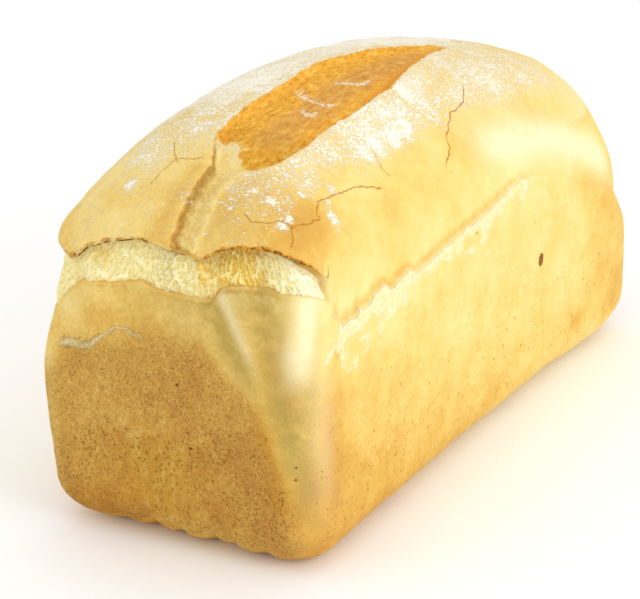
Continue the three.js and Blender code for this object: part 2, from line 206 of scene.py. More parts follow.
LEDGE = {
    "N": [(-40, 0.4), (0, 0.9), (36, 0.8), (50, 0.3), (66, 0.2)],
    "R": [(-96, 1), (20, 1), (38, 0.4), (60, 0)],
    "F": [(0, 0)],
    "L": [(60, 0), (30, 0.8), (-80, 1), (-110, 0.2)],
}
ROUND = (EDGE_HEIGHT, EDGE_INSET, RIM_HEIGHT, LIP, LEDGE)
print(sum(len(rows) for table in ROUND for rows in table.values()), "measurements in", len(ROUND), "tables")

# %% [markdown]
# ## Going round the tin
# A place on the walls is named by its distance round the rim, counted from the
# middle of the torn end. A unit square bent into a rounded rectangle carries the
# grid's lines to that outline, and to every smaller one above and below it.

# %% The tin in plan
ARC = math.pi * CORNER / 2
END_RUN = 2 * (HALF_WIDTH - CORNER)
SIDE_RUN = NEAR_END + FAR_END - 2 * CORNER
AROUND = 2 * (END_RUN + SIDE_RUN) + 4 * ARC


def place_of(side, c):
    """Distance round the rim of coordinate c on the near end, right, far end or left."""
    run = END_RUN / 2 + ARC + (c + NEAR_END - CORNER)
    return {"N": c, "R": run, "L": -run, "F": AROUND / 2 - c}[side]


def round_the_loaf(sides):
    """The curve through all sides' points, repeated before and after so that it closes."""
    rows = sorted((place_of(side, c) % AROUND, value) for side in sides for c, value in sides[side])
    places, values = np.array(rows).T
    at = curve(np.concatenate([places - AROUND, places, places + AROUND]), np.tile(values, 3))
    return lambda s: at(s % AROUND)


def in_plan(bx, by, half_width, near, far, corner):
    """A point of the unit square, stretched to a rectangle; inside a corner's square
    it is drawn in by the ratio of its larger offset to its distance."""
    half = np.where(by < 0, near, far)
    x, y = half_width * np.abs(bx), half * np.abs(by)
    dx, dy = x - (half_width - corner), y - (half - corner)
    rounded = (dx > 0) & (dy > 0)
    k = np.where(rounded, np.maximum(dx, dy) / np.maximum(np.hypot(dx, dy), 1e-9), 1.0)
    px = np.where(rounded, half_width - corner + dx * k, x)
    py = np.where(rounded, half - corner + dy * k, y)
    return np.sign(bx) * px, np.sign(by) * py


def place_at(x, y):
    """Distance round the rim of a point on it: straight runs, and radius x angle on arcs."""
    half = np.where(y > 0, FAR_END, NEAR_END)
    ax, ay = np.abs(x) - (HALF_WIDTH - CORNER), np.abs(y) - (half - CORNER)
    arc = END_RUN / 2 + CORNER * np.arctan2(ax, ay)
    side = END_RUN / 2 + ARC + (half - CORNER - np.abs(y))
    s = np.where((ax > 0) & (ay > 0), arc, np.where(ay > 0, np.abs(x), side))
    s = np.where(y > 0, AROUND / 2 - s, s)
    return np.where(x < 0, -s, s)


def columns(rows):
    """A curve for each column after the first, over the first."""
    first, *others = zip(*rows)
    return [curve(first, column) for column in others]


edge_height, edge_inset, rim_height, lip_depth, ledge_depth = map(round_the_loaf, ROUND)
(ridge_height,), (lobe,) = columns(RIDGE), columns(LOBES)
slash_left, slash_right, slash_depth = columns(SLASH)
fold_ridge, fold_valley, fold_depth = columns(FOLD)
print("rim", round(AROUND), "mm round")

# %% [markdown]
# ## Random lumps
# Dough is uneven at every size. A table of random numbers on a cubic lattice,
# read with smooth steps between its corners, gives lumps of a chosen size; the
# seed is fixed, so the loaf comes out the same every time.

# %% Lumps of a chosen size
LATTICE = 32
TABLE = np.random.default_rng(20).uniform(-1, 1, (4, LATTICE, LATTICE, LATTICE))


def lumps(points, size, which=0):
    """Smooth noise from -1 to 1: the lattice's eight nearest random values, mixed by
    the quintic step of the place between them. size is the lattice's step, in mm."""
    q = np.asarray(points, float) / np.asarray(size, float)
    low = np.floor(q).astype(int)
    f = q - low
    w = f**3 * (f * (6 * f - 15) + 10)
    total = 0.0
    for corner in np.ndindex(2, 2, 2):
        ix, iy, iz = ((low[..., a] + corner[a]) % LATTICE for a in range(3))
        part = np.prod([np.abs(1 - corner[a] - w[..., a]) for a in range(3)], axis=0)
        total = total + part * TABLE[which, ix, iy, iz]
    return total


def ragged(s, seed=3.3):
    """An uneven line where dough broke: lumps of three sizes along it, in mm."""
    p = np.stack([s, 0 * s, 0 * s + seed], -1)
    return 0.9 * lumps(p, 9) + 0.7 * lumps(p, 3.7, 1) + 0.35 * lumps(p, 1.6, 2)


print("a ragged line's heights at 0, 5 and 10 mm:", ragged(np.array([0.0, 5.0, 10.0])).round(2))

# %% [markdown]
# ## The crown
# Across the loaf the crown is an arch, as high as its ridge; at the torn end the
# slash leaves two lobes. The slash itself has a steep wall on its left, where the
# crust was lifted, and opens into a wide scar that browned as the dough rose.


# %% Crown and slash
def arch(x, y):
    """(1 - |x / w|^p)^(1/q), as high as the ridge, plus the two lobes."""
    w = HALF_WIDTH + 1.5 + abs(CROWN_SHIFT)
    u = np.clip(np.abs(x - CROWN_SHIFT) / w, 0, 0.9999)
    rise = (1 - u**CROWN_P) ** (1 / CROWN_Q)
    lift = lobe(x) * bell(-LOBE_END, LOBE_LENGTH, np.maximum(y, -LOBE_END))
    return CROWN_BASE + (ridge_height(y) - CROWN_BASE) * rise + lift


SCAR_OPENS = (-92, -78)  # y between which the slash widens into the scar


def slash_edges(y):
    """The edges' curves, made uneven: the lifted left one more than the right."""
    lifted = mix(0.8, 0.12, smooth(*SCAR_OPENS, y))
    return slash_left(y) + lifted * ragged(y, 1.7), slash_right(y) + 0.35 * ragged(y, 5.1)


def slash(x, y):
    """Depth times a step down at the left edge and a step up at the right one, less
    a low crest outside each edge."""
    left, right = slash_edges(y)
    scar = smooth(*SCAR_OPENS, y)
    rise = mix(0.75 * (right - left), 2.6, scar)
    into = smooth(left, left + mix(SLASH_WALL, 3.2, scar), x)
    out_of = smooth(right - rise, right, x)
    crests = 0.9 * bell(left - 2, 3.2, x) * mix(1, 0.3, scar) + 1.1 * bell(right + 2.4, 4, x) * scar
    return slash_depth(y) * (into * (1 - out_of) - 0.42 * crests)


widths = np.subtract(*slash_edges(np.array([-110.0, -60.0, 20.0]))[::-1])
print("the slash is", widths.round(1), "mm wide at the torn end, in the middle and where it closes")

# %% [markdown]
# ## The walls
# Below the rim the crust is where the tin was: nearly flat, leaning in a little
# towards the foot. In one corner the dough never reached the tin, which left
# soft folds down the end.


# %% How far the walls stand inside the rim
def near_left(s):
    """1 round the torn end's left corner, 0 elsewhere."""
    return np.where(s < 0, smooth(28, 44, -s) * (1 - smooth(80, 160, -s)), 0.0)


def wall_inset(s, z, x, y):
    """Taper, pinch, splay and the corner's folds, added up."""
    side, near, far = (
        smooth(edge - 0.9 * CORNER, edge - 1, place)
        for edge, place in ((HALF_WIDTH, np.abs(x)), (NEAR_END, -y), (FAR_END, y))
    )
    on_side = SIDE_TAPER * (1 - z / 90) + PINCH * bell(0, 70, y) * (1 - np.clip((z - 60) / 60, 0, 1))
    on_side = on_side + SIDE_LEAN * smooth(40, 110, y) * smooth(60, 90, z)
    on_side = on_side - SPLAY * smooth(60, 115, y) * smooth(75, 45, z)
    on_far = FAR_LEAN * smooth(55, 95, z) - FAR_SWELL * smooth(70, 40, z)
    on_left = LEFT_LEAN * smooth(48, 108, z) - LEFT_SWELL * smooth(95, 60, z)
    folds = bell(fold_valley(z), 6.0, s) - 0.26 * bell(fold_ridge(z), 3.6, s) * smooth(56, 80, z)
    folds = folds * fold_depth(z) * ((s > 0) & (s < 70))
    near_taper = NEAR_TAPER * (1 - z / 95)
    return side * on_side + near * near_taper + far * on_far + near_left(s) * on_left + folds


side_insets = wall_inset(place_of("R", 0.0), np.array([20.0, 50.0, 80.0]), HALF_WIDTH, 0.0)
print("the right wall stands in by", side_insets.round(1), "mm at 20, 50 and 80 mm up")

# %% [markdown]
# ## Rows down the wall
# The skin is a box of grid lines bent into the loaf. Its top becomes the crown,
# and the outline of that top is carried down the sides in rows: over the
# shoulder, through the tear, down the wall and round the foot. A quad grid like
# this is closed by construction, and its lines can be packed where detail is.

# %% Rows and columns of the skin
SHOULDER_ROWS, TEAR_ROWS, WALL_ROWS, FOOT_ROWS, BASE_ROWS = 12, 26, 40, 10, 7
BAND_ROWS = SHOULDER_ROWS + TEAR_ROWS
SIDE_ROWS = BAND_ROWS + WALL_ROWS + FOOT_ROWS
ACROSS = (38, 9, 12, 34, 12, 9, 38)  # columns in the stretches between the slash's edges
COLUMNS = sum(ACROSS)
ALONG = 188


def across_lines(y):
    """For each y, the columns' x from -1 to 1: even steps between stops at the
    slash's edges, closer together towards the corners."""
    left, right = slash_edges(y)
    edge = np.full_like(y, RING_HALF_WIDTH)
    within = np.minimum(3.6, 0.4 * (right - left))
    stops = [-edge, left - 6, left - 1, left + within, right - within, right + 1, right + 7, edge]
    lines = []
    for k, count in enumerate(ACROSS):
        t = np.arange(count) / count
        t = t**1.25 if k == 0 else 1 - (1 - t) ** 1.25 if k == len(ACROSS) - 1 else t
        lines.append(mix(stops[k][:, None], stops[k + 1][:, None], t))
    return np.column_stack(lines + [edge[:, None]]) / RING_HALF_WIDTH


v = np.linspace(-1, 1, ALONG + 1)
by = v - 0.16 * (1 - v**2) * (1 + 0.35 * v) + 0.1 * np.sin(np.pi * v)  # denser at the torn end
bx = across_lines(by * np.where(by < 0, RING_NEAR, RING_FAR))
BY = np.broadcast_to(by[:, None], bx.shape)
print("top grid", bx.shape, "closest lines along", round(float(np.diff(by).min() * RING_NEAR), 2), "mm")

# %% [markdown]
# ## How the skin runs from the crown to the foot
# Each stretch of rows is one function of a column's place and of how far down it
# is, from 0 to 1. The shoulder and the broken crust are cubic curves, since these
# can leave the crown at its own slope; the wall and the foot follow the tin.


# %% The shoulder and the broken crust
def inset_plan(bx, by, d, z):
    """The rim's rounded rectangle, d mm further in, its corners tighter with d."""
    corner = np.where(by < 0, NEAR_CORNER, FAR_CORNER - 1.5 * smooth(50, 95, z))
    sizes = HALF_WIDTH - d, NEAR_END - d, FAR_END - d
    return in_plan(bx, by, *sizes, np.maximum(corner - 0.35 * d, 4))


def ring_point(bx, by, to):
    """Where a column leaves the crown, which way it heads, and the arch's slope there."""
    cx, cy = in_plan(bx, by, RING_HALF_WIDTH, RING_NEAR, RING_FAR, RING_CORNER)
    run = np.hypot(to[0] - cx, to[1] - cy)
    ux, uy = (to[0] - cx) / run, (to[1] - cy) / run
    slope = arch(cx + ux / 2, cy + uy / 2) - arch(cx - ux / 2, cy - uy / 2)
    return (cx, cy, ux, uy), run, slope, arch(cx, cy)


def cut_slash(ring, out, z, t):
    """The slash carried over the crown's end: it moves the skin in and down."""
    cx, cy, ux, uy = ring
    x, y = cx + ux * out, cy + uy * out
    cut = np.where(y < -80, slash(x, y), slash(cx, cy) * (1 - t))
    return np.stack([x - 0.6 * t * cut * ux, y - 0.6 * t * cut * uy, z - cut * (1 - 0.4 * t)], -1)


def soft_shoulder(bx, by, t, s, rx, ry):
    """A cubic Bezier that starts along the crown's slope and ends upright at the rim."""
    zr = rim_line(s)
    ledge = RIM_LEDGE * ledge_depth(s)
    to = inset_plan(bx, by, wall_inset(s, zr, rx, ry) + ledge, zr)
    ring, run, slope, z0 = ring_point(bx, by, to)
    ze = zr + 0.7 * ledge
    meet = np.maximum(z0 + slope * run, ze + 2)
    u = 1 - t
    out = run * (3 * u * u * t * 0.55 + 3 * u * t * t + t**3)
    z = u**3 * z0 + 3 * u * u * t * mix(z0, meet, 0.55) + 3 * u * t * t * mix(ze, meet, 0.55)
    return cut_slash(ring, out, z + t**3 * ze, t)


def rim_line(s):
    """The rim's height with the shred's uneven tears, which the side walls show most."""
    return rim_height(s) + ragged(s, 8.1) * (0.35 + 0.9 * ledge_depth(s) * smooth(60, 80, np.abs(s)))


def broken_edge(s):
    """The ragged height of the broken crust's edge, and how far inside the rim it is."""
    return edge_height(s) + 0.5 * ragged(s), edge_inset(s)


def crust_over(bx, by, t, s):
    """The crust rolling over to its broken edge: a Hermite cubic from the crown's
    slope to a steep fall."""
    ze, de = broken_edge(s)
    ring, run, slope, z0 = ring_point(bx, by, inset_plan(bx, by, de, ze))
    fall = np.maximum(z0 - ze, 4)
    h01, h10, h11 = t * t * (3 - 2 * t), t * (1 - t) ** 2, -t * t * (1 - t)
    out = run * (1.2 * h10 + h01 + 0.25 * h11)
    z = mix(z0, ze, h01) + 1.2 * run * slope * h10 - 1.5 * fall * h11
    return cut_slash(ring, out, z, t)


lip_run = lip_depth(np.arange(-50.0, 65.0))
print("the lip hangs over by", lip_run.min().round(1), "to", lip_run.max().round(1), "mm")

# %% The tear, the wall and the foot
# down the tear: share of the way, how far in under the lip, how far below the edge
TEAR_T = [0, 0.05, 0.09, 0.13, 0.18, 0.25, 0.35, 0.6, 1]
TEAR_IN = [0, 0.05, 0.3, 0.75, 1.0, 0.95, 0.75, 0.3, 0]
TEAR_DROP = [0, 1.5, 2.1, 1.6, 0.9, 1.6, 1.6, 1.6, 0]
tear_in, tear_drop = curve(TEAR_T, TEAR_IN), curve(TEAR_T, TEAR_DROP)


def torn_band(bx, by, t, s, rx, ry):
    """From the crust's broken edge: down its thickness, in under the lip, then
    down and out over the torn crumb to the ledge above the rim."""
    (ze, de), zr = broken_edge(s), rim_line(s)
    ledge = RIM_LEDGE * ledge_depth(s)
    band = np.clip((t - 0.12) / 0.88, 0, 1)
    d = mix(de, wall_inset(s, zr, rx, ry) + ledge, 1 - (1 - band) ** (1.6 - 0.75 * near_left(s)))
    d = d + lip_depth(s) * tear_in(t)
    start = ze - tear_drop(t)
    z = mix(start, zr + 0.7 * ledge, band**1.05)
    x, y = inset_plan(bx, by, d, z)
    return np.stack([x, y, z], -1)


def wall(bx, by, t, s, rx, ry):
    """The wall from the rim down to where the foot's rounding starts."""
    z = mix(rim_line(s) - 0.4, FOOT_ROUND, t**1.1)
    x, y = inset_plan(bx, by, wall_inset(s, z, rx, ry), z)
    return np.stack([x, y, z], -1)


def foot(bx, by, turn, s, rx, ry):
    """A quarter round of FOOT_ROUND's radius from the wall into the base."""
    d0 = wall_inset(s, FOOT_ROUND, rx, ry)
    d = d0 + FOOT_ROUND * (1 - np.cos(turn))
    own = np.where(by < 0, NEAR_CORNER, FAR_CORNER)
    corner = np.maximum(own - 0.35 * d0 + (FOOT_CORNER - NEAR_CORNER) * np.sin(turn), 4)
    x, y = in_plan(bx, by, HALF_WIDTH - d, NEAR_END - d, FAR_END - d, corner)
    return np.stack([x, y, FOOT_ROUND * (1 - np.sin(turn)) + 0 * d], -1)


print("half way down the tear the skin is", tear_in(0.5).round(2), "of the lip's depth in")

# %% The sides
# the top's outline, once round against the clock from the near left corner
EDGE_J = np.r_[np.zeros(COLUMNS, int), np.arange(ALONG), np.full(COLUMNS, ALONG), np.arange(ALONG, 0, -1)]
EDGE_I = np.r_[np.arange(COLUMNS), np.full(ALONG, COLUMNS), np.arange(COLUMNS, 0, -1), np.zeros(ALONG, int)]
ebx, eby = bx[EDGE_J, EDGE_I][None], BY[EDGE_J, EDGE_I][None]
rim_x, rim_y = in_plan(ebx, eby, HALF_WIDTH, NEAR_END, FAR_END, CORNER)
rim_s = place_at(rim_x, rim_y)
place = (ebx, eby)
where = (rim_s, rim_x, rim_y)

t = np.arange(1, BAND_ROWS + 1)[:, None] / BAND_ROWS
soft = soft_shoulder(*place, t, *where)
t_over = np.arange(1, SHOULDER_ROWS + 1)[:, None] / SHOULDER_ROWS
t_tear = (np.arange(1, TEAR_ROWS + 1)[:, None] / TEAR_ROWS) ** 1.15
torn = np.concatenate([crust_over(*place, t_over, rim_s), torn_band(*place, t_tear, *where)])
is_torn = smooth(0.15, 1.3, lip_depth(rim_s))[..., None]
band = mix(soft, torn, is_torn)
walls = wall(*place, np.arange(WALL_ROWS)[:, None] / (WALL_ROWS - 1), *where)
turn = (np.arange(1, FOOT_ROWS + 1)[:, None] / FOOT_ROWS) * math.pi / 2
feet = foot(*place, turn, *where)
sides = np.concatenate([band, walls, feet])
print("sides:", sides.shape[0], "rows of", sides.shape[1])

# %% The top and the base
tx, ty = in_plan(bx, BY, RING_HALF_WIDTH, RING_NEAR, RING_FAR, RING_CORNER)
top = np.stack([tx, ty, arch(tx, ty) - slash(tx, ty)], -1)
shrink = (1 - np.arange(1, BASE_ROWS) / BASE_ROWS)[:, None, None]
base = feet[-1] * np.concatenate([np.broadcast_to(shrink, (BASE_ROWS - 1, 1, 2)), 0 * shrink], -1)
print("crown", top[..., 2].max().round(1), "mm high,", len(base), "rows below the foot")

# %% [markdown]
# ## One closed skin
# Top, sides and base are put one after the other in a single list of points, and
# the quads between neighbouring lines are written as index arithmetic. Each quad
# goes round anticlockwise as seen from outside, so that all faces point outwards.

# %% Join the grids
base_middle = np.zeros((1, 3))
points = np.concatenate([top.reshape(-1, 3), sides.reshape(-1, 3), base.reshape(-1, 3), base_middle])
top_index = np.arange(top[..., 0].size).reshape(top.shape[:2])
rings = np.arange(sides[..., 0].size + base[..., 0].size).reshape(-1, sides.shape[1]) + top.size // 3
rings = np.concatenate([top_index[EDGE_J, EDGE_I][None], rings])
nxt = np.roll(rings, -1, axis=1)


def quads_between(a, b, c, d):
    """Quads whose corners are matching entries of four index grids."""
    return np.stack([g.ravel() for g in (a, b, c, d)], -1)


quads = np.concatenate([
    quads_between(top_index[:-1, :-1], top_index[:-1, 1:], top_index[1:, 1:], top_index[1:, :-1]),
    quads_between(rings[1:], nxt[1:], nxt[:-1], rings[:-1]),
])
middle = np.full_like(rings[-1], len(points) - 1)
fan = np.stack([middle, nxt[-1], rings[-1]], -1)
print(len(points), "points,", 2 * len(quads) + len(fan), "triangles")


def normals(points):
    """Each quad's normal, the cross product of its diagonals, summed at its corners."""
    p = points[quads]
    n = np.cross(p[:, 2] - p[:, 0], p[:, 3] - p[:, 1])
    total = np.zeros_like(points)
    for corner in range(4):
        for axis in range(3):
            total[:, axis] += np.bincount(quads[:, corner], n[:, axis], len(points))
    return total / np.maximum(np.linalg.norm(total, axis=1), 1e-9)[:, None]

# %% [markdown]
# ## What each point knows
# The relief and the colours need to know where on the loaf a point is: its row,
# its distance round the rim, whether it is on the crown, the tear or the wall,
# and how far it is from a line such as a crack.

# %% Each point's row, place round the loaf and part
X, Y, Z = points.T
in_top = np.arange(len(points)) < top_index.size
row = np.full(len(points), SIDE_ROWS + 1.0)
row[in_top] = 0
row[rings[1:].ravel()] = np.repeat(np.arange(1, len(rings)), rings.shape[1])
S = np.zeros(len(points))
S[rings[1:].ravel()] = np.tile(rim_s[0], len(rings) - 1)
on_crown = in_top | (row <= SHOULDER_ROWS)
on_band = (row > SHOULDER_ROWS) & (row <= BAND_ROWS)
on_wall = (row > BAND_ROWS) & ~in_top
at_near_end = smooth(NEAR_END - 12, NEAR_END - 6, -Y) * ~in_top
on_end = at_near_end * on_wall
tearing = smooth(0.15, 1.3, lip_depth(S)) * ~in_top
print("points on crown, band and walls:", on_crown.sum(), on_band.sum(), on_wall.sum())


# %% Lines drawn on the loaf
def line_distance(a, b, line, reach):
    """Signed distance from points (a, b) to a broken line, and how surely a point
    is beside it: 1 next to the line, 0 beyond its ends or further than reach."""
    near, side, live = np.full(a.shape, np.inf), np.zeros(a.shape), np.zeros(a.shape)
    line = np.asarray(line, float)
    for k, (p, q) in enumerate(zip(line[:-1], line[1:])):
        d, length = q - p, np.hypot(*(q - p))
        u = ((a - p[0]) * d[0] + (b - p[1]) * d[1]) / length
        off = ((a - p[0]) * d[1] - (b - p[1]) * d[0]) / length
        over = np.maximum(np.maximum(-u, u - length), 0)
        dist = np.hypot(off, over)
        first, last = k == 0, k == len(line) - 2
        past = np.where(u < 0, -u * first, np.where(u > length, (u - length) * last, 0))
        closer = dist < near
        near = np.where(closer, dist, near)
        side = np.where(closer, np.where(off < 0, -dist, dist), side)
        live = np.where(closer, 1 - smooth(0, 1.0, past), live)
    return side, live * (1 - smooth(0.55 * reach, reach, near))


beside = line_distance(np.array([0.0]), np.array([5.0]), [(1, 0), (1, 10)], 3.0)
print("a point 1 mm left of a line is at", beside[0], "and beside it by", beside[1])

# %% [markdown]
# ## The relief of the crust
# A crust is never smooth: the torn crumb is drawn into strands and cells, the
# edge of the tin leaves a shred along the sides, and the dough wrinkles where it
# touched the bottom of the tin. Each is a height in millimetres, added along the
# skin's normals.


# %% Room for the torn crumb, which is laid into the tear later
def torn_open(s):
    """1 where the crumb shows, 0 past the tear's two ends, round the corners."""
    return (1 - smooth(63, 68.5, s)) * smooth(-82, -76, s)


CRUMB_ROOM = 3.2
below_rim = rim_line(S) - Z  # in mm, on the band and the walls
place3 = np.stack([S, 0 * S, Z], -1)  # for lumps that go round with the walls
crumb_share = np.where(on_band, smooth(SHOULDER_ROWS + 4.5, SHOULDER_ROWS + 6.5, row), 0) * tearing
crumb_share = crumb_share * smooth(0.2, 2.6, -below_rim) * torn_open(S)
relief = -CRUMB_ROOM * crumb_share
print("room for the crumb behind", (crumb_share > 0.5).sum(), "points")

# %% Flakes: skin torn off the walls hangs under the rim
flaking = 0.62 + 0.7 * bell(-98, 18, Y) + 0.9 * bell(-66, 9, Y) + 0.8 * bell(10, 15, Y)
reach_down = smooth(-0.8, 0.3, below_rim) * (1 - below_rim / 11)
flakes = 1.15 * reach_down + 0.7 * flaking - 1.1
flakes = flakes + 0.8 * lumps(place3, (11, 1, 5), 3) + 0.6 * lumps(place3, (4.5, 1, 2.5), 2)
flakes = np.where(on_wall & (np.abs(S) > 70), flakes - 3 * (1 - smooth(0.1, 0.6, ledge_depth(S))), -3)
for flap_s, flap_z, flap_run, flap_rise in ((64.5, 80.5, 3.6, 1.7), (71.5, 82.5, 3.2, 2.8)):
    torn_flap = 1 - np.hypot((S - flap_s) / flap_run, (Z - flap_z - 0.6 * (S - flap_s)) / flap_rise)
    flakes = np.maximum(flakes, np.where(on_wall, 1.6 * torn_flap, -3))
relief = relief + 0.45 * smooth(-0.5, 0.7, flakes)
relief = relief - 0.3 * on_wall * (1 - at_near_end) * smooth(12, 4, below_rim)
print("flakes on", (flakes > 0).sum(), "points")

# %% Unevenness of the walls and the crown
# size of the lumps, set of random numbers, height, how far below the middle they are taken
for size, which, height, lowered in ((34, 0, 0.55, 0.6), (13, 1, 0.3, 0.5), (5, 2, 0.12, 0.5)):
    relief = relief + height * (lumps(points, size, which) - lowered) * (Z >= 0.5)
crackle = lumps(place3, (1.8, 9, 3.2), 1)
relief = relief + 0.3 * crackle * on_end * smooth(4, 14, Z) * smooth(80, 66, Z) * smooth(46, 38, np.abs(X))
print("relief from", relief.min().round(2), "to", relief.max().round(2), "mm")

# %% Notches where the foot wrinkled
# x, width, height
NOTCHES = [
    (-13.5, 3.4, 3.2), (-3.2, 3.0, 2.2), (11, 3.4, 2.4), (18.3, 2.6, 1.8), (31, 2.6, 1.2), (-26, 4, 1.0),
]
foot_near = smooth(22, 4, Z) * smooth(NEAR_END - 34, NEAR_END - 22, -Y)
notch = sum(height * bell(x, width, X) for x, width, height in NOTCHES)
lift_foot = foot_near * notch * smooth(NEAR_END - 20, NEAR_END - 14, -Y)
print("notches lift the foot by up to", lift_foot.max().round(1), "mm")

# %% Add the relief, and keep to the solid's box
points = points + normals(points) * relief[:, None]
points[:, 2] = np.maximum(points[:, 2] + lift_foot, 0)
low, high = np.array(CAD_BOX) / MM + [0, CENTRE_Y, 0]
over = np.maximum(points - high, low - points).max(0)
print("stands outside the solid's box by", over.round(2), "mm before trimming")
points = np.clip(points, low, high)

# %% [markdown]
# ## Masks
# The crust's colours follow the baking: dark where the broken edge was toasted,
# orange in the scar, brown on the end that touched the tin, floury on top. Each
# is a number at every point of the mesh, stored as an attribute that the
# material reads. Lines and borders are stored as distances in millimetres, so
# that they stay sharp between the grid's points.

# %% Slash and scar
left, right = slash_edges(Y)
SCAR_START = [
    (-12, -80), (-4, -77.5), (-1.9, -76.6), (1.4, -74.9), (3.9, -73.1), (6.1, -74.8), (7.2, -78.5),
    (8.4, -82.4), (11, -85.6), (14, -86.6), (18, -86.2), (21.5, -84), (26, -78), (34, -70),
]
SCAR_END = 62
past_start, _ = line_distance(X, Y, SCAR_START, 60.0)
along_scar = np.minimum(-0.28 * past_start, (SCAR_END - Y) * 0.3)
scar = np.clip(np.minimum(np.minimum(X - left, right - X), along_scar), -8, 8)
scar = np.where(on_crown, scar, -8)
slash_floor = np.minimum(np.minimum(X - left - 1.4, 0.55 * (right + 1.6 - X)), -62 - Y).clip(-5, 5)
slash_floor = np.where(on_crown, slash_floor, -5)
gash = np.clip(X - left, -9, 9)
gash_on = np.where(on_crown | (row < SHOULDER_ROWS + 4), 1 - smooth(-84, -74, Y), 0)
scar_brown = bell(mix(left, right, 0.6), 0.28 * (right - left), X) * smooth(-84, -60, Y) * smooth(60, 30, Y)
ember = bell(right - 2.4, 2.0, X) * smooth(-30, -5, Y) * smooth(64, 40, Y)
ember = ember + bell(left + 3, 2.5, X) * bell(-74, 5, Y)
print((scar > 0).sum(), "points in the scar,", (slash_floor > 0).sum(), "on the slash's floor")


# %% Cracks, marks in the flour, the end's split, the tongue of dough
def nearest_line(lines, reach):
    """Signed distance to the nearest of the crown's lines, and how surely a point is beside it."""
    side, live = np.full(len(points), 3.0), np.zeros(len(points))
    for line in lines:
        line_side, line_live = line_distance(X, Y, line, reach)
        closer = (np.abs(line_side) < np.abs(side)) & on_crown
        side, live = np.where(closer, line_side, side), np.where(closer, line_live, live)
    return side, live


CROWN_CRACKS = [
    [(44.8, -92.6), (41.8, -86), (42.2, -75.1), (41.9, -67.3), (43.4, -59.3), (45.4, -51.4)],
    [
        (27.4, -109.7), (31.4, -112), (36.6, -110.8), (40.3, -107.1), (43.4, -107.2), (46, -99.8),
        (45.7, -92.3),
    ],
    [(43.4, -107.2), (46, -109.8), (47, -112.8)],
    [(38.2, -42.8), (42.2, -44.7), (44.4, -43.1)],
    [(33.5, 31.4), (37.2, 25.1), (39.3, 17.3), (39.6, 10.5), (43.9, -0.8), (46.8, -4.9), (48.9, -11.2)],
    [(-17.7, -81.2), (-11.4, -90.3), (-13.4, -102.8)],
    [(-11.4, -90.3), (-2.1, -88.7)],
]
FLOUR_MARKS = [
    [(-1.8, -28.5), (4.1, -33), (10.5, -35.1), (14.6, -34.6), (16.3, -30.8)],
    [(10.1, -43.2), (13.6, -45.1), (14.9, -41.2)], [(8.2, -16.6), (12, -13.4), (15.4, -10.9), (15.5, -5.4)],
]
END_SPLIT = [
    (-43.2, 69.9), (-40, 71.2), (-37.6, 71.3), (-33.5, 71.6), (-29.3, 73), (-24.9, 76.5), (-21.5, 78.6),
    (-18.1, 81.1), (-14, 81.8), (-11, 79.9), (-8.2, 80.1),
]
TONGUE = [(7, 116), (10, 114.2), (12.6, 112), (14.0, 109.7), (14.9, 107), (16.5, 103)]
crack, crack_on = nearest_line(CROWN_CRACKS, 2.6)
marks, marks_on = nearest_line(FLOUR_MARKS, 3.5)
split, split_on = line_distance(X, Z, END_SPLIT, 6.0)
split_width = mix(1.5, 0.6, smooth(-30, -22, X))  # it closes towards the loaf's middle
split = (split + 0.5 * lumps(place3, (2.4, 9, 2.0), 3)) / split_width
tongue, tongue_on = line_distance(X, Z, TONGUE, 5.0)
tongue_on = tongue_on * (on_band & (Y < 0))
print((crack_on > 0.5).sum(), "points beside a crack,", (split_on * on_end > 0.5).sum(), "beside the split")

# %% Burnt specks
# place along the side or across the end, height, half width, half height
SIDE_SPECKS = [
    (50.2, 56.4, 1.9, 3.0), (-79, 82, 0.5, 1.5), (-55, 72.5, 0.8, 0.9), (-2, 85, 1.0, 1.3),
    (-26, 70, 0.6, 0.6), (23, 73, 0.6, 0.6),
]
END_SPECKS = [(47.6, 41.4, 0.75, 0.8), (47.5, 36.8, 0.7, 0.75), (8.7, 42.3, 1.1, 1.1), (4.9, 64.2, 0.9, 1.0)]
on_side = (X > 40) & (at_near_end < 0.5)
specks = np.full(len(points), -3.0)
for a, facing, listed in ((Y, on_side, SIDE_SPECKS), (X, at_near_end > 0.5, END_SPECKS)):
    for speck_a, speck_z, half_width, half_height in listed:
        inside = 1 - np.hypot((a - speck_a) / half_width, (Z - speck_z) / half_height)
        specks = np.maximum(specks, np.where(facing & on_wall, inside * min(half_width, half_height), -3))
print(len(SIDE_SPECKS) + len(END_SPECKS), "specks on", (specks > 0).sum(), "points")

# %% [markdown]
# ### Where the flour lies
# The baker's sieve went along the crown, so flour thins towards the long sides
# and the far end, and a few clumps fell with it. A blotch, a bell in two
# directions, stands for each patch that is thicker or thinner than the rest.


# %% Flour
def blotches(a, b, rows):
    """Two-way bells added up. A row holds the middle's two places, two widths, a height."""
    return sum(height * bell(at_a, run, a) * bell(at_b, rise, b) for at_a, at_b, run, rise, height in rows)


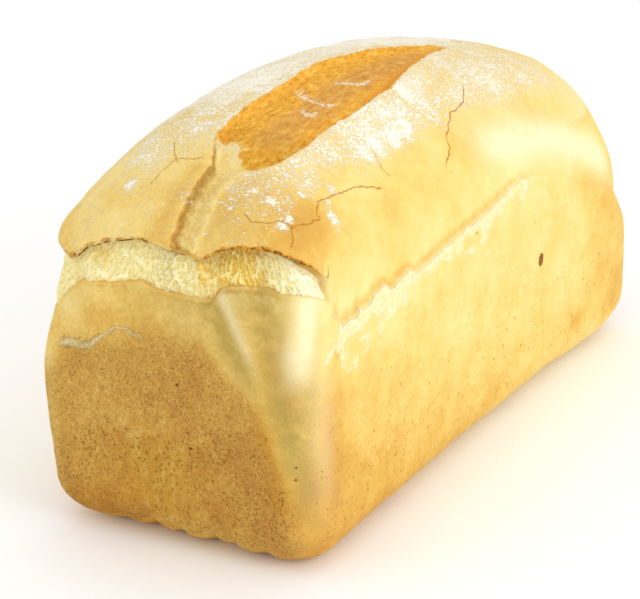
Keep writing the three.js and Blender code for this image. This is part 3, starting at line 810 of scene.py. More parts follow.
flour_along = curve(
    [-120, -108, -100, -92, -84, -70, -55, -40, 0, 20, 40, 70, 100, 125],
    [0.26, 0.38, 0.52, 0.58, 0.66, 0.62, 0.62, 0.74, 0.70, 0.58, 0.66, 0.62, 0.66, 0.62],
)
flour_edge = curve([-116, -100, -84, -70, -55, -40, 0, 40, 80], [37, 40, 40, 35, 39, 41, 43, 46, 47])
CLUMPS = [
    (47.1, -85.2, 3.1), (41.6, -109.2, 2.9), (40.5, -75.3, 1.8), (41.8, -104.6, 1.5), (-22, -103, 2),
    (38.5, -28.6, 2.4), (37.1, -40.2, 2.0), (37.5, -47, 2.2), (28.6, -5.2, 2.4), (37.2, -19, 2.2),
    (38, -90, 1.3), (43, -82, 1.1), (24, -99, 1.2), (33, -102, 1.3), (20, -107, 1.0),
]
across = (X - CROWN_SHIFT) / HALF_WIDTH
floured = smooth(-0.98, -0.7, across) * (1 - smooth(0.70, 0.95, across)) * (1 - smooth(84, 118, Y))
right_flour = mix(0.16, flour_along(Y), smooth(flour_edge(Y) + 6, flour_edge(Y) - 5, X))
right_flour = right_flour + blotches(X, Y, [(36, -88, 5, 10, -0.14), (45, -84, 4, 6, 0.2)])
left_flour = 0.28 + 0.38 * smooth(-98, -66, Y) + 0.22 * smooth(-72, -30, Y) * smooth(left, left - 12, X)
left_flour = left_flour + blotches(X, Y, [(-24, -88, 9, 12, 0.28), (-46, -88, 8, 12, -0.16)])
left_flour = left_flour + 0.13 * lumps(points, (9, 17, 9), 3)
flour = mix(left_flour, right_flour, smooth(left + 1, right - 1, X)) * floured
flour = np.where(on_crown | (on_band & (tearing < 0.5)), flour, 0)
flour = flour + on_crown * blotches(X, Y, [(x, y, size, size, 0.8) for x, y, size in CLUMPS])
print("flour on the crown:", flour[on_crown].mean().round(2), "on average")

# %% [markdown]
# ### How the end browned
# The end browned in an arch, where the dough pressed against the tin. Above the
# arch the skin stayed olive, and in the fold's valley and beside its ridge the olive
# is painted shade. Where a fold stood clear of the tin it stayed pale, and a pale
# strip down the corner is partly painted highlight; low down it turned a deeper gold.

# %% Brown, olive and pale skin, painted shade in the fold, painted highlight on the corner, and golden skin
arch_edge = curve(
    [-60, -41, -24, -4, 12, 23, 32, 38, 44, 52, 60], [52, 67, 74, 80.6, 81, 72.5, 65, 52, 34, 16, 4]
)
end_brown = at_near_end * smooth(-9, 5, arch_edge(X) - Z) * (1 - smooth(42, 52, X))
foot_brown = at_near_end * smooth(24, 2, Z)
above_arch = smooth(-7, 14, Z - arch_edge(X) + 6 * lumps(points, 12)) * smooth(-22, 10, X)
# olive skin above the arch, and painted shade beside the fold's ridge and in its valley
olive_and_fold_shade = 0.5 * above_arch + 0.6 * bell(fold_ridge(Z) - 5.5, 3.8, S) * smooth(62, 80, Z)
olive_and_fold_shade = olive_and_fold_shade + 0.42 * bell(fold_valley(Z) - 0.5, 5.0, S) * smooth(15, 45, Z)
strip_middle = curve([40, 56, 66, 75, 83, 95, 105], [43, 44, 47.5, 51.5, 52.5, 54.8, 56])
# a pale strip down the corner, partly pale skin and partly painted highlight
pale_corner_highlight = bell(strip_middle(Z), 4.6, S) * smooth(64, 84, Z)
pale_corner_highlight = pale_corner_highlight + 0.25 * bell(60, 6, S) * smooth(10, 50, Z) * smooth(96, 70, Z)
held_skin = at_near_end * (on_wall | (on_band & (S > 38))) * (1 - crumb_share)
olive_and_fold_shade = held_skin * np.clip(olive_and_fold_shade, 0, 1) * (1 - np.clip(pale_corner_highlight, 0, 1))
pale_and_highlight = 0.5 * on_end * bell(fold_ridge(Z) + 0.4, 2.4, S) * smooth(70, 88, Z)
pale_and_highlight = pale_and_highlight + pale_corner_highlight * ~on_crown * smooth(108, 100, Z) * (1 - crumb_share)
golden = 0.8 * on_end * bell(-8, 24, X) * smooth(6, 18, Z) * smooth(58, 30, Z)
golden = golden + 0.7 * on_end * bell(fold_valley(Z) - 6, 6, S) * smooth(18, 30, Z) * smooth(72, 54, Z)
golden = golden + 0.5 * at_near_end * foot_brown * smooth(10, -30, X)
print("shares of the points: brown", end_brown.mean().round(3), "olive_and_fold_shade", olive_and_fold_shade.mean().round(3))

# %% Painted highlights on the side's upper band, the crown's shoulder and under the shred; gold on the tear's lower rim; painted crease shade over the shred
side_band = curve([5, 25, 60, 80, 100, 115], [114, 109, 101, 93, 82, 70])
# painted highlights: a pale band high on the right side, and a pale patch on the crown's right shoulder
pale_and_highlight = pale_and_highlight + (X > 30) * bell(side_band(Y), 8, Z) * smooth(0, 30, Y) * (1 - smooth(100, 116, Y))
pale_and_highlight = pale_and_highlight + on_crown * blotches(X, Y, [(46, 104, 15, 15, 0.5)])
# painted highlight just under the shred's ledge
painted_shred_highlight = on_wall * (X > 0) * bell(1.0, 2.2, below_rim) * (1 - at_near_end) * ledge_depth(S)
pale_and_highlight = np.clip(pale_and_highlight + 0.55 * painted_shred_highlight, 0, 1)
# painted crease shade just above the shred's ledge, laid as gold and a little browner tone
crease_shade_above_rim = bell(-1.2, 1.6, below_rim) * ledge_depth(S) * ~in_top * (1 - at_near_end)
golden = golden + 1.1 * bell(0.2, 1.1, below_rim) * smooth(15, 21, S) * smooth(52, 42, S) * ~on_crown
golden = golden + (X > 40) * blotches(Y, Z, [(-102, 93, 2.5, 3, 0.8), (-103, 79, 1.8, 3, 0.8)])
golden = golden + 0.4 * crease_shade_above_rim + 0.8 * bell(SHOULDER_ROWS + 1.5, 4, row) * bell(8, 6, S) * tearing
golden = np.clip(golden, 0, 1)
print("shares of the points: pale", pale_and_highlight.mean().round(3), "golden", golden.mean().round(3))

# %% [markdown]
# ### How brown each part was baked
# The tone runs from 0, cream, to 1, nearly black. It starts from the crown's or
# the wall's own tone and takes in what made a part hotter or cooler: the tin's
# foot, the edges that stood out, the ends. Blotches do the rest. Two terms paint
# light and shade instead: a paler strip along the end's left edge, and a darker
# crease over the shred.

# %% Tone of the walls, the end and the crown
at_far_end = smooth(FAR_END - 16, FAR_END - 8, Y) * on_wall
far_brown = at_far_end * smooth(-2, 20, below_rim + 5 * lumps(points, 12)) * smooth(54, 40, np.abs(X))
WALL_BLOTCHES = [(5, 63, 22, 14, -0.04), (-60, 18, 10, 6, -0.06)]
RIGHT_BLOTCHES = [(80, 22, 7, 4, 0.13), (85, 75, 9, 6.92, 0.08)]
END_BLOTCHES = [
    (-38, 76, 12, 12, -0.03), (-8, 88, 16, 6, 0.04), (-25, 84, 7, 5, 0.09), (-15, 76, 8, 5, -0.06),
    (-40, 84, 6, 6, -0.08), (50, 36, 4, 9, 0.08), (41, 80, 6, 8, 0.06), (44, 64, 5, 12, 0.08),
]
wall_tone = (
    0.26 - 0.03 * smooth(60, 90, Z) + 0.15 * smooth(66, 6, Z) * smooth(110, -60, Y)
    + 0.04 * smooth(60, 20, Z) * smooth(-40, -100, Y) + 0.05 * smooth(76, 60, Z) * smooth(-40, -70, Y)
    + 0.18 * bell(52, 24, Z) * smooth(-88, -110, Y)
    + 0.12 * smooth(8, 20, Z) * smooth(90, 76, Z) * smooth(80, 104, Y)
    + blotches(Y, Z, WALL_BLOTCHES) + (X > 0) * blotches(Y, Z, RIGHT_BLOTCHES) + 0.2 * far_brown
)
end_tone = (
    0.35 + 0.165 * end_brown + foot_brown * (0.16 * smooth(10, -40, X) - 0.10 * bell(8, 26, X))
    # paler at the end's top, and paler along its left edge as a painted rim light
    - 0.10 * smooth(96, 103, Z) - 0.12 * smooth(-42, -49, X) * smooth(76, 62, Z)
    + 0.2 * smooth(45, 50, X) * bell(30, 15, Z) + blotches(X, Z, END_BLOTCHES)
    - 0.16 * crackle * bell(-12, 24, X) * bell(32, 24, Z)
)
crown_tone = (
    0.26 + 0.06 * smooth(-70, -100, Y) + 0.04 * smooth(38, 50, X)
    - 0.07 * smooth(4, -10, X) * smooth(-60, -90, Y)
    + 0.04 * bell(28, 16, X) * smooth(-92, -106, Y) + 0.12 * bell(46, 6, X) * smooth(-84, -100, Y)
    + 0.09 * bell(-2, 6, X) * smooth(-84, -96, Y) + 0.06 * bell(-44, 7, X) * smooth(-90, -105, Y)
)
lower_tone = mix(wall_tone, end_tone, at_near_end)
band_tone = mix(crown_tone, lower_tone, smooth(0.2, 0.9, row / BAND_ROWS))
# painted crease shade above the shred's ledge, a little browner
band_tone = band_tone + 0.04 * crease_shade_above_rim * (1 + 0.9 * lumps(place3, 9))
tone = np.where(on_crown, crown_tone, lower_tone)
tone = np.where(on_band & (tearing < 0.5), band_tone, tone)
print("tone from", tone.min().round(2), "to", tone.max().round(2))

# %% Lip, grain, pores and pits, and all masks together
lip = np.where(on_band | on_crown, bell(SHOULDER_ROWS + 1.4, 2.2, row), 0) * tearing
lip = lip * mix(0.8, 1.15, smooth(18, 30, S)) * (1 - 0.9 * bell(8, 6, S)) * smooth(0.3, 1.0, lip_depth(S))
# painted shade under the lip's overhang, coloured like the crust behind the crumb
painted_lip_shade = np.where(on_band, bell(SHOULDER_ROWS + 5.5, 2.5, row), 0) * tearing * (1 - smooth(60, 68, S))
grainy = np.where(on_wall & (at_near_end < 0.5) | (X > 40), 0.35, 1.0)
touched = 1 - smooth(34, 48, S) * smooth(70, 88, Z)  # 0 at the upper corner, which the tin never touched
porous = on_end * (0.35 + 0.65 * end_brown) * touched + far_brown
wall_pits = mix(mix(0.68, 0.3, at_near_end), 1.05, end_brown + far_brown) * mix(0.8, 1.1, smooth(70, 30, Z))
scar_pits = (scar > 0.5) * (0.45 + 0.45 * smooth(-30, -60, Y)) * (1 - scar_brown)
pitted = np.where(on_wall, wall_pits * touched, scar_pits)
MASKS = {
    "tone": tone, "flour": np.clip(flour, 0, 1), "scar": scar, "scar_brown": scar_brown, "ember": ember,
    "floor": slash_floor, "gash": gash, "gash_on": gash_on, "tongue": tongue, "tongue_on": tongue_on,
    "marks": marks, "marks_on": marks_on, "crack": crack, "crack_on": crack_on,
    "split": split, "split_on": split_on * on_end, "golden": golden, "olive_and_fold_shade": np.clip(olive_and_fold_shade, 0, 1),
    # "crumb" is the crust behind the crumb sheet and painted shade under the lip
    "pale_and_highlight": pale_and_highlight, "crumb": np.maximum(crumb_share, painted_lip_shade), "lip": lip, "porous": porous, "pits": pitted,
    "shred": flakes, "specks": specks, "grainy": grainy,
}
print(len(MASKS), "masks")

# %% [markdown]
# ## From arrays to a mesh
# One function makes a mesh of each skin: foreach_set hands over whole arrays at
# once, which is far quicker than adding faces one by one. The masks go with it
# as attributes, one number per point.


# %% The crust's piece
def make_piece(name, points, quads, triangles, masks):
    """A mesh at the origin from points in working millimetres, with its attributes."""
    mesh = bpy.data.meshes.new(name)
    place = (points - [0, CENTRE_Y, 0]) * MM
    loops = np.concatenate([quads.ravel(), triangles.ravel()]).astype(np.int32)
    sizes = np.repeat([4, 3], [len(quads), len(triangles)])
    starts = (np.cumsum(sizes) - sizes).astype(np.int32)
    mesh.vertices.add(len(place))
    mesh.vertices.foreach_set("co", place.ravel())
    mesh.loops.add(len(loops))
    mesh.loops.foreach_set("vertex_index", loops)
    mesh.polygons.add(len(starts))
    mesh.polygons.foreach_set("loop_start", starts)
    mesh.update(calc_edges=True)
    mesh.validate()
    mesh.shade_smooth()
    for mask, values in masks.items():
        layer = mesh.attributes.new(mask, "FLOAT", "POINT")
        layer.data.foreach_set("value", np.asarray(values, np.float32))
    piece = bpy.data.objects.new(name, mesh)
    bpy.context.scene.collection.objects.link(piece)
    return piece


loaf_crust = make_piece("loaf_crust", points, quads, fan, MASKS)
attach(loaf_crust, "root")
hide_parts("loaf")
print(len(loaf_crust.data.polygons), "faces")

# %% [markdown]
# ## The torn crumb
# Under the lip the loaf shows its inside: gas bubbles pulled into long cells, with
# thin walls of dough between them. Bump could darken the cells but not hollow them
# out, so the crumb is a sheet of its own, on a grid twice as fine as the crust's,
# laid into the room that was left in the tear.


# %% Bubbles and the walls between them
def bubble_gap(a, b, which):
    """One jittered point per lattice square: how much further off the second nearest
    is than the nearest. It is 0 on the walls between bubbles."""
    ia, ib = np.floor(a).astype(int), np.floor(b).astype(int)
    first, second = np.full(a.shape, 9.0), np.full(a.shape, 9.0)
    for da, db in np.ndindex(3, 3):
        ja, jb = ia + da - 1, ib + db - 1
        jitter_a = 0.42 * TABLE[which, ja % LATTICE, jb % LATTICE, 7]
        jitter_b = 0.42 * TABLE[which, ja % LATTICE, jb % LATTICE, 19]
        away = np.hypot(ja + 0.5 + jitter_a - a, jb + 0.5 + jitter_b - b)
        second = np.minimum(second, np.maximum(first, away))
        first = np.minimum(first, away)
    return second - first


print("gap at three places:", bubble_gap(np.array([0.0, 0.5, 1.0]), np.array([0.0, 0.5, 1.0]), 0).round(2))

# %% The sheet's grid, over the tear
CRUMB_STEP, CRUMB_ROWS, CRUMB_THICK = 0.36, 46, 0.7
span = np.arange(-84, 84, CRUMB_STEP)
beyond = np.maximum(np.abs(span) - HALF_WIDTH, 0)
crumb_bx = np.clip(span / HALF_WIDTH, -1, 1)[None]
crumb_by = (beyond / NEAR_END - 1)[None]
crumb_rim = in_plan(crumb_bx, crumb_by, HALF_WIDTH, NEAR_END, FAR_END, CORNER)
crumb_s = place_at(*crumb_rim)
down_tear = mix(0.13, 1.0, np.arange(CRUMB_ROWS) / (CRUMB_ROWS - 1))[:, None]
sheet = torn_band(crumb_bx, crumb_by, down_tear, crumb_s, *crumb_rim)
skirt = sheet[-1] - np.array([0, 0, 1.0]) * np.arange(1, 6)[:, None, None] * 0.4
sheet = np.concatenate([sheet, skirt])
sheet_s = np.broadcast_to(crumb_s, sheet.shape[:2])
outward = np.cross(np.gradient(sheet, axis=1), np.gradient(sheet, axis=0))
outward /= np.linalg.norm(outward, axis=-1)[..., None]
outward *= -np.sign(outward[-1, len(span) // 2, 1])  # the torn end faces -y
TUCKED_ROWS = 8
outward[:TUCKED_ROWS] = outward[TUCKED_ROWS]  # rows under the lip, where the tear folds back
print("crumb grid", sheet.shape[:2])

# %% Strands of dough that still hold, and which way the bubbles lean
tongue_off, tongue_near = line_distance(sheet[..., 0], sheet[..., 2], TONGUE, 5.0)
flap = bell(0, 1.7, tongue_off) * tongue_near
STRANDS = [
    [(-47, 100), (-43, 104), (-38, 108)], [(-43, 100.5), (-38, 105), (-34, 108.5)],
    [(-37, 104), (-31, 109)], [(-33, 100), (-28, 106)], [(-51, 99), (-47, 105)], [(-23, 101), (-19, 107)],
]
strands = np.zeros(sheet.shape[:2])
for line in STRANDS:
    off, near = line_distance(sheet[..., 0], sheet[..., 2], line, 4.0)
    strands = np.maximum(strands, bell(0, 0.5, off) * near)
print("strands cross", (strands > 0.5).sum(), "points of the sheet")

# %% Bubbles: round beside the slash, long and leaning on the lobes
lean = curve([-60, -30, -12, 0, 28, 42, 56, 75], [0.8, 0.75, 0.4, 0.1, 0.16, 0.0, -0.3, -0.6])
above = sheet[..., 2] - 105
strand = sheet_s - lean(sheet_s) * above + 0.02 * above**2 * smooth(18, 30, sheet_s)
torn_place = np.stack([strand, 0 * strand, sheet[..., 2]], -1)
bend = [lumps(torn_place, (5, 1, 5), which) for which in (1, 2)]
a, b = strand + 1.3 * bend[0], sheet[..., 2] + 1.3 * bend[1]
# width and height of a bubble in mm, thickness of its walls
BUBBLES = ((2.9, 3.1, 0.24), (2.4, 9.0, 0.26), (1.5, 2.0, 0.32))
round_wall, long_wall, fine_wall = (
    1 - smooth(0.0, thick, bubble_gap(a / wide, b / tall, k)) for k, (wide, tall, thick) in enumerate(BUBBLES)
)
round_share = np.clip(bell(3, 15, sheet_s) + 0.5 * smooth(-14, -34, sheet_s), 0, 1)
bubble_wall = mix(long_wall, round_wall, round_share)
bubble_wall = np.maximum(bubble_wall * (0.75 + 0.35 * bend[0]), 0.34 * fine_wall)
hollow = (1 - bubble_wall) * mix(0.5, 1.05, smooth(-30, 4, sheet_s))
depth = 0.5 + hollow + 0.7 * lumps(torn_place, (7, 1, 12), 3) - 0.9 * flap - 0.6 * strands
print("bubbles are up to", hollow.max().round(2), "mm deep")

# %% Sink the sheet's borders into the crust
at_ends = 1 - smooth(0.2, 0.9, lip_depth(sheet_s)) * torn_open(sheet_s)
at_top = 1 - smooth(0, 5, np.arange(len(sheet)))[:, None]
at_foot = smooth(-2.4, 0.0, rim_line(crumb_s) - sheet[..., 2])
depth = mix(depth, 0.1, at_top) + 3.6 * at_ends + 0.8 * at_foot
front = sheet - outward * depth[..., None]
print("the sheet lies", depth.min().round(1), "to", depth.max().round(1), "mm behind the tear's skin")

# %% Close the sheet: a back, and a rim all round
back = front - outward * CRUMB_THICK
index = np.arange(sheet[..., 0].size).reshape(sheet.shape[:2])
behind = index + index.size
edge = np.concatenate([index[0, :-1], index[:-1, -1], index[-1, :0:-1], index[:0:-1, 0]])
edge_next = np.roll(edge, -1)
crumb_quads = np.concatenate([
    quads_between(index[1:, :-1], index[1:, 1:], index[:-1, 1:], index[:-1, :-1]),
    quads_between(behind[:-1, :-1], behind[:-1, 1:], behind[1:, 1:], behind[1:, :-1]),
    quads_between(edge, edge_next, edge_next + index.size, edge + index.size),
])
crumb_points = np.clip(np.concatenate([front.reshape(-1, 3), back.reshape(-1, 3)]), low, high)
corners = crumb_points[crumb_quads]
turns = np.cross(corners[:, 1], corners[:, 2]) + np.cross(corners[:, 2], corners[:, 3])
volume = (corners[:, 0] * turns).sum() / 6  # of the tetrahedra from the origin to each triangle
print("crumb sheet:", round(float(volume)), "mm3, which is above 0 when its faces point out")

# %% The crumb's masks and piece
yolk = bell(30, 15, sheet_s) + 0.6 * bell(-26, 9, sheet_s) * smooth(98, 106, sheet[..., 2])
yolk = np.maximum(yolk, np.maximum(1.3 * flap, 0.65 * strands))
under_edge = 1 - smooth(0.1, 0.34, down_tear + 0 * sheet[:CRUMB_ROWS, :, 0])
shade = np.concatenate([under_edge, 0 * skirt[..., 0]])
CRUMB_MASKS = {"bubble_wall": bubble_wall, "yolk": yolk, "white": smooth(44, 58, sheet_s), "shade": shade}
both_sides = {name: np.tile(values.ravel(), 2) for name, values in CRUMB_MASKS.items()}
torn_crumb = make_piece("torn_crumb", crumb_points, crumb_quads, np.zeros((0, 3), int), both_sides)
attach(torn_crumb, "root")
print(len(torn_crumb.data.polygons), "faces")

# %% [markdown]
# ## Crust
# Bread crust is dried, browned dough: matt, a little translucent, and coloured
# by how long the heat reached it. A painted picture would have to be stretched
# over the loaf; nodes instead work out the colour at each point, at its true
# size. The material layers what happened to the loaf, in that order: browning,
# the tear and the slash, pits, flour, cracks. Some layers are painted light and
# shade: shade under the lip, at the slash wall's foot, in the fold and round the
# split, and highlights on the side, the shoulder and the corner. Each cell adds
# its layers to a list, as a share from 0 to 1 and a colour, and one loop lays
# them at the end.


# %% One function for a colour, one for a node
def colour(code):
    """A hex sRGB colour turned to linear by the standard curve."""
    c = np.array([int(code[i:i + 2], 16) for i in (1, 3, 5)]) / 255
    linear = np.where(c <= 0.04045, c / 12.92, ((c + 0.055) / 1.055) ** 2.4)
    return (*linear.tolist(), 1.0)


def per_metre(size_mm):
    """A texture's scale for features of a size in millimetres."""
    return 1 / (size_mm * MM)


crust = bpy.data.materials.new("floured_bread_crust")  # dry and matt, with no clear highlight
crust.use_nodes = True
tree = crust.node_tree  # the tree that add() works on
SMOOTHSTEP = {"interpolation_type": "SMOOTHSTEP"}
RGBA = {"data_type": "RGBA", "out": 2}  # a Mix node's colours are its inputs 6 and 7


def add(kind, inputs=None, out=0, stops=None, **settings):
    """A node of the tree; inputs are values or other nodes' outputs."""
    node = tree.nodes.new("ShaderNode" + kind)
    for name, value in settings.items():
        setattr(node, name, value)
    if stops:
        node.color_ramp.elements.remove(node.color_ramp.elements[1])
        node.color_ramp.elements[0].position = stops[0][0]
        node.color_ramp.elements[0].color = colour(stops[0][1])
        for place, code in stops[1:]:
            node.color_ramp.elements.new(place).color = colour(code)
    for name, value in (inputs or {}).items():
        if isinstance(value, bpy.types.NodeSocket):
            tree.links.new(value, node.inputs[name])
        else:
            node.inputs[name].default_value = value
    return node.outputs[out]


print("golden brown", [round(v, 3) for v in colour("#D6A756")[:3]], "in linear light")

# %% [markdown]
# ### Noise at true size
# Dough is uneven at every size. Patches are as wide as a thumb; then come
# mottling, crumbly dough, a sandy grain and pores. Each noise has the size of the
# real thing in millimetres, and two are drawn out along the loaf, as the slash's
# scar was while the dough rose.

# %% Noise, and the masks of the mesh
on_loaf = add("TexCoord", out="Object")
# size in mm, detail, roughness, scale along the loaf
NOISES = {
    "patches": (22.0, 3.0, 0.6, 1.0), "mottle": (4.0, 4.0, 0.6, 1.0), "grain": (1.6, 3.0, 0.65, 1.0),
    "pores": (0.9, 2.0, 0.6, 1.0), "crumble": (1.8, 5.0, 0.75, 1.0), "dust": (1.05, 3.0, 0.7, 1.0),
    "cloud": (8.0, 3.0, 0.6, 1.0), "streaks": (1.7, 5.0, 0.75, 0.3), "blisters": (1.6, 5.0, 0.7, 0.45),
}
noise = {}
for name, (size, detail, roughness, along) in NOISES.items():
    drawn_out = add("Mapping", {"Vector": on_loaf, "Scale": (1.0, along, 1.0)})
    texture = {"Vector": drawn_out, "Scale": per_metre(size), "Detail": detail, "Roughness": roughness}
    noise[name] = add("TexNoise", texture)
patches, mottle, grain, pores, crumble, dust, cloud, streaks, blisters = noise.values()
mask = {name: add("Attribute", attribute_name=name, out="Fac") for name in MASKS}
print("noise and masks:", len(tree.nodes), "nodes")

# %% [markdown]
# ### Browning
# The longer the heat, the browner the crust, from cream over gold to dark brown:
# one ramp holds those colours, and a number per point of the mesh says how far
# along it is. The noises break that number up, as dough never browns evenly.

# %% Browning
grain_centred, pores_centred, cloud_centred = (
    add("Math", {0: uneven, 1: 0.5}, operation="SUBTRACT") for uneven in (grain, pores, cloud)
)
grain_share = add("Math", {0: grain_centred, 1: mask["grainy"]}, operation="MULTIPLY")
pore_depth = add("Math", {0: pores_centred, 1: mask["porous"]}, operation="MULTIPLY")
baked = add("Math", {0: mask["tone"], 1: 0.25}, operation="SUBTRACT")  # less the noises' own middle
for uneven, amount in ((patches, 0.34), (mottle, 0.16), (grain_share, 0.24), (pore_depth, -0.46)):
    baked = add("Math", {0: uneven, 1: amount, 2: baked}, operation="MULTIPLY_ADD")
BAKED = [
    (0.0, "#F6ECBE"), (0.16, "#F2DC96"), (0.30, "#EBCA74"), (0.44, "#DBAD53"),
    (0.60, "#C58E43"), (0.78, "#A0661F"), (1.0, "#5E300E"),
]
browned = add("ValToRGB", {"Fac": baked}, stops=BAKED)
print("browning:", len(tree.nodes), "nodes")

# %% [markdown]
# ### Ragged borders and drawn lines
# A mask alone would have a border as smooth as the mesh. Noise added to it before
# a smooth step breaks the border up, finer than any quad. Lines are kept as
# signed distances in millimetres: noise moves a line sideways, and the step
# draws it where the distance is near 0.

# %% Ragged borders
# noise, its weight, where the layer starts and is full, how strong it is
RAGGED = {
    "floor": (mottle, 3.0, 1.4, 2.5, 0.95), "scar": (mottle, 4.4, 1.8, 2.5, 1.0),
    "scar_brown": (mottle, 1.2, 0.95, 1.45, 0.9), "lip": (mottle, 1.3, 1.15, 1.6, 1.0),
    "shred": (mottle, 1.6, 0.45, 1.05, 0.85), "specks": (grain, 1.2, 0.5, 0.85, 0.9),
}
share = {}
for name, (uneven, weight, start, full, most) in RAGGED.items():
    border = add("Math", {0: uneven, 1: weight, 2: mask[name]}, operation="MULTIPLY_ADD")
    share[name] = add("MapRange", {"Value": border, 1: start, 2: full, 4: most}, **SMOOTHSTEP)
print("ragged borders:", len(tree.nodes), "nodes")

# %% Drawn lines
MOVED = {"tongue": 4.0, "marks": 5.0, "crack": 2.4, "split": 2.2}  # from side to side, in mm
off_line = {}
for name, reach in MOVED.items():
    moved = add("Math", {0: mottle, 1: reach, 2: mask[name]}, operation="MULTIPLY_ADD")
    centred = add("Math", {0: moved, 1: reach / 2}, operation="SUBTRACT")
    off_line[name] = add("Math", {0: centred}, operation="ABSOLUTE")
off_line["split"] = add("Math", {0: crumble, 1: 5.0, 2: off_line["split"]}, operation="MULTIPLY_ADD")
# which line, distance at which it is full, at which it ends, how strong it is
DRAWN = {
    "tongue": ("tongue", 0.4, 1.9, 0.9), "marks": ("marks", 0.3, 1.5, 0.9),
    "crack": ("crack", 0.04, 0.31, 0.88), "split": ("split", 3.0, 3.6, 0.85),
    # split_rim: a brown rim round the split, partly painted shade at its edge
    "split_rim": ("split", 3.3, 4.2, 0.3),
}
for name, (line, full, end, most) in DRAWN.items():
    drawn = add("MapRange", {"Value": off_line[line], 1: full, 2: end, 3: most, 4: 0.0}, **SMOOTHSTEP)
    share[name] = add("Math", {0: drawn, 1: mask[line + "_on"]}, operation="MULTIPLY")
print("drawn lines:", len(tree.nodes), "nodes")

# %% [markdown]
# ### Gold, olive and pale skin, with painted shade and highlights
# Where the dough lay thinly in the tin's corner its skin stayed olive, folds that
# stood clear of the tin stayed pale, and the lowest part of the end baked a
# deeper gold. The olive tint also lays painted shade in the fold, the pale one
# painted highlights on the corner, the side and the crown's shoulder, and the gold
# one a painted crease over the shred. Each is a tint over the browning, held where
# its mask is.

# %% Tints
# how much the mottling breaks it up, how much is added to that, kept within 0 and 1 or not
TINTS = {
    "golden": (2.6, -0.55, True, "#D29A34"), "olive_and_fold_shade": (1.9, 0.0, False, "#BCA052"),
    "pale_and_highlight": (1.2, 0.45, False, "#F0E6B8"),
}
layers = []
for name, (weight, extra, kept, code) in TINTS.items():
    uneven = add("Math", {0: mottle, 1: weight, 2: extra}, operation="MULTIPLY_ADD", use_clamp=kept)
    tinted = add("Math", {0: mask[name], 1: uneven}, operation="MULTIPLY", use_clamp=True)
    layers.append((tinted, colour(code)))
# painted shade: a dim tan on the crust behind the crumb sheet and under the lip
layers.append((mask["crumb"], colour("#BC9446")))  # behind the crumb, where little light comes
print("tints:", len(layers), "layers")

# %% [markdown]
# ### The slash
# A blade opened the crown before baking. Its floor is soft crumb that dried
# yellow; where it opened widest the dough baked on as an orange scar, browner
# along its middle; and the crust lifted beside it shows its toasted edge, with
# painted shade at the foot of its wall.

# %% Floor of the slash, and the tongue of dough below it
SLASH_FLOOR = [(0.30, "#DCA440"), (0.38, "#F0CA6A"), (0.50, "#F8DA82"), (0.64, "#FCEAAC")]
layers.append((share["floor"], add("ValToRGB", {"Fac": crumble}, stops=SLASH_FLOOR)))
layers.append((share["tongue"], colour("#E4A028")))
print("slash's floor:", len(layers), "layers")

# %% Scar of the slash
SCAR_GOLD = [(0.30, "#BE7814"), (0.40, "#DC9828"), (0.53, "#EAAC3A"), (0.68, "#F6CC62")]
SCAR_BROWN = [(0.30, "#B4742C"), (0.44, "#CE903C"), (0.55, "#DAA048"), (0.70, "#EEC470")]
scar_gold = add("ValToRGB", {"Fac": blisters}, stops=SCAR_GOLD)
scar_tan = add("ValToRGB", {"Fac": streaks}, stops=SCAR_BROWN)
scar_colour = add("Mix", {0: share["scar_brown"], 6: scar_gold, 7: scar_tan}, **RGBA)
ember_spots = add("MapRange", {"Value": blisters, 1: 0.46, 2: 0.62, 4: 0.75})
ember_share = add("Math", {0: mask["ember"], 1: ember_spots}, operation="MULTIPLY")
scar_embers = add("Mix", {0: ember_share, 6: scar_colour, 7: colour("#D8701C")}, **RGBA)
layers.append((share["scar"], scar_embers))
print("scar:", len(layers), "layers")

# %% Toasted edges: the lip of the tear and the crust lifted beside the slash, with painted shade at the wall's foot
LIP_TOAST = [(0.40, "#7E4A10"), (0.50, "#B87820"), (0.62, "#DC9E36")]
layers.append((share["lip"], add("ValToRGB", {"Fac": grain}, stops=LIP_TOAST)))
gash_ragged = add("Math", {0: mottle, 1: 3.0, 2: mask["gash"]}, operation="MULTIPLY_ADD")
# 0 is 5.5 mm left of the edge and 1 is 4.5 mm right of it: rim, tan wall, and a foot darkened as painted
# shade
gash_scaled = add("MapRange", {"Value": gash_ragged, 1: -4.0, 2: 6.0})
GASH_SHARE = [(0.505, "#000000"), (0.555, "#F0F0F0"), (0.64, "#E8E8E8"), (0.73, "#000000")]
# toasted brown at the lifted crust's rim and wall, darkening to painted shade at its foot
GASH_TOAST_AND_SHADE = [(0.52, "#CC9440"), (0.57, "#CC984A"), (0.615, "#A67A34"), (0.69, "#7C6026")]
CRUMBLY = [(0.34, "#B08030"), (0.46, "#FFFFFF")]
gash_near = add("ValToRGB", {"Fac": gash_scaled}, stops=GASH_SHARE)
gash_share = add("Math", {0: gash_near, 1: mask["gash_on"]}, operation="MULTIPLY")
gash_toast_and_shade = add("ValToRGB", {"Fac": gash_scaled}, stops=GASH_TOAST_AND_SHADE)
gash_crumbly = add("ValToRGB", {"Fac": crumble}, stops=CRUMBLY)
gash_colour = add("Mix", {0: 0.8, 6: gash_toast_and_shade, 7: gash_crumbly}, blend_type="MULTIPLY", **RGBA)
layers.append((gash_share, gash_colour))
print("toasted edges:", len(layers), "layers")

# %% [markdown]
# ### Pits
# Gas bubbles that burst against the tin left pits, most of them under a
# millimetre wide, so they are drawn in the material rather than in the mesh. A
# Voronoi texture gives each pit a cell; the cell's own random colour decides
# whether it has a pit at all, and how wide.

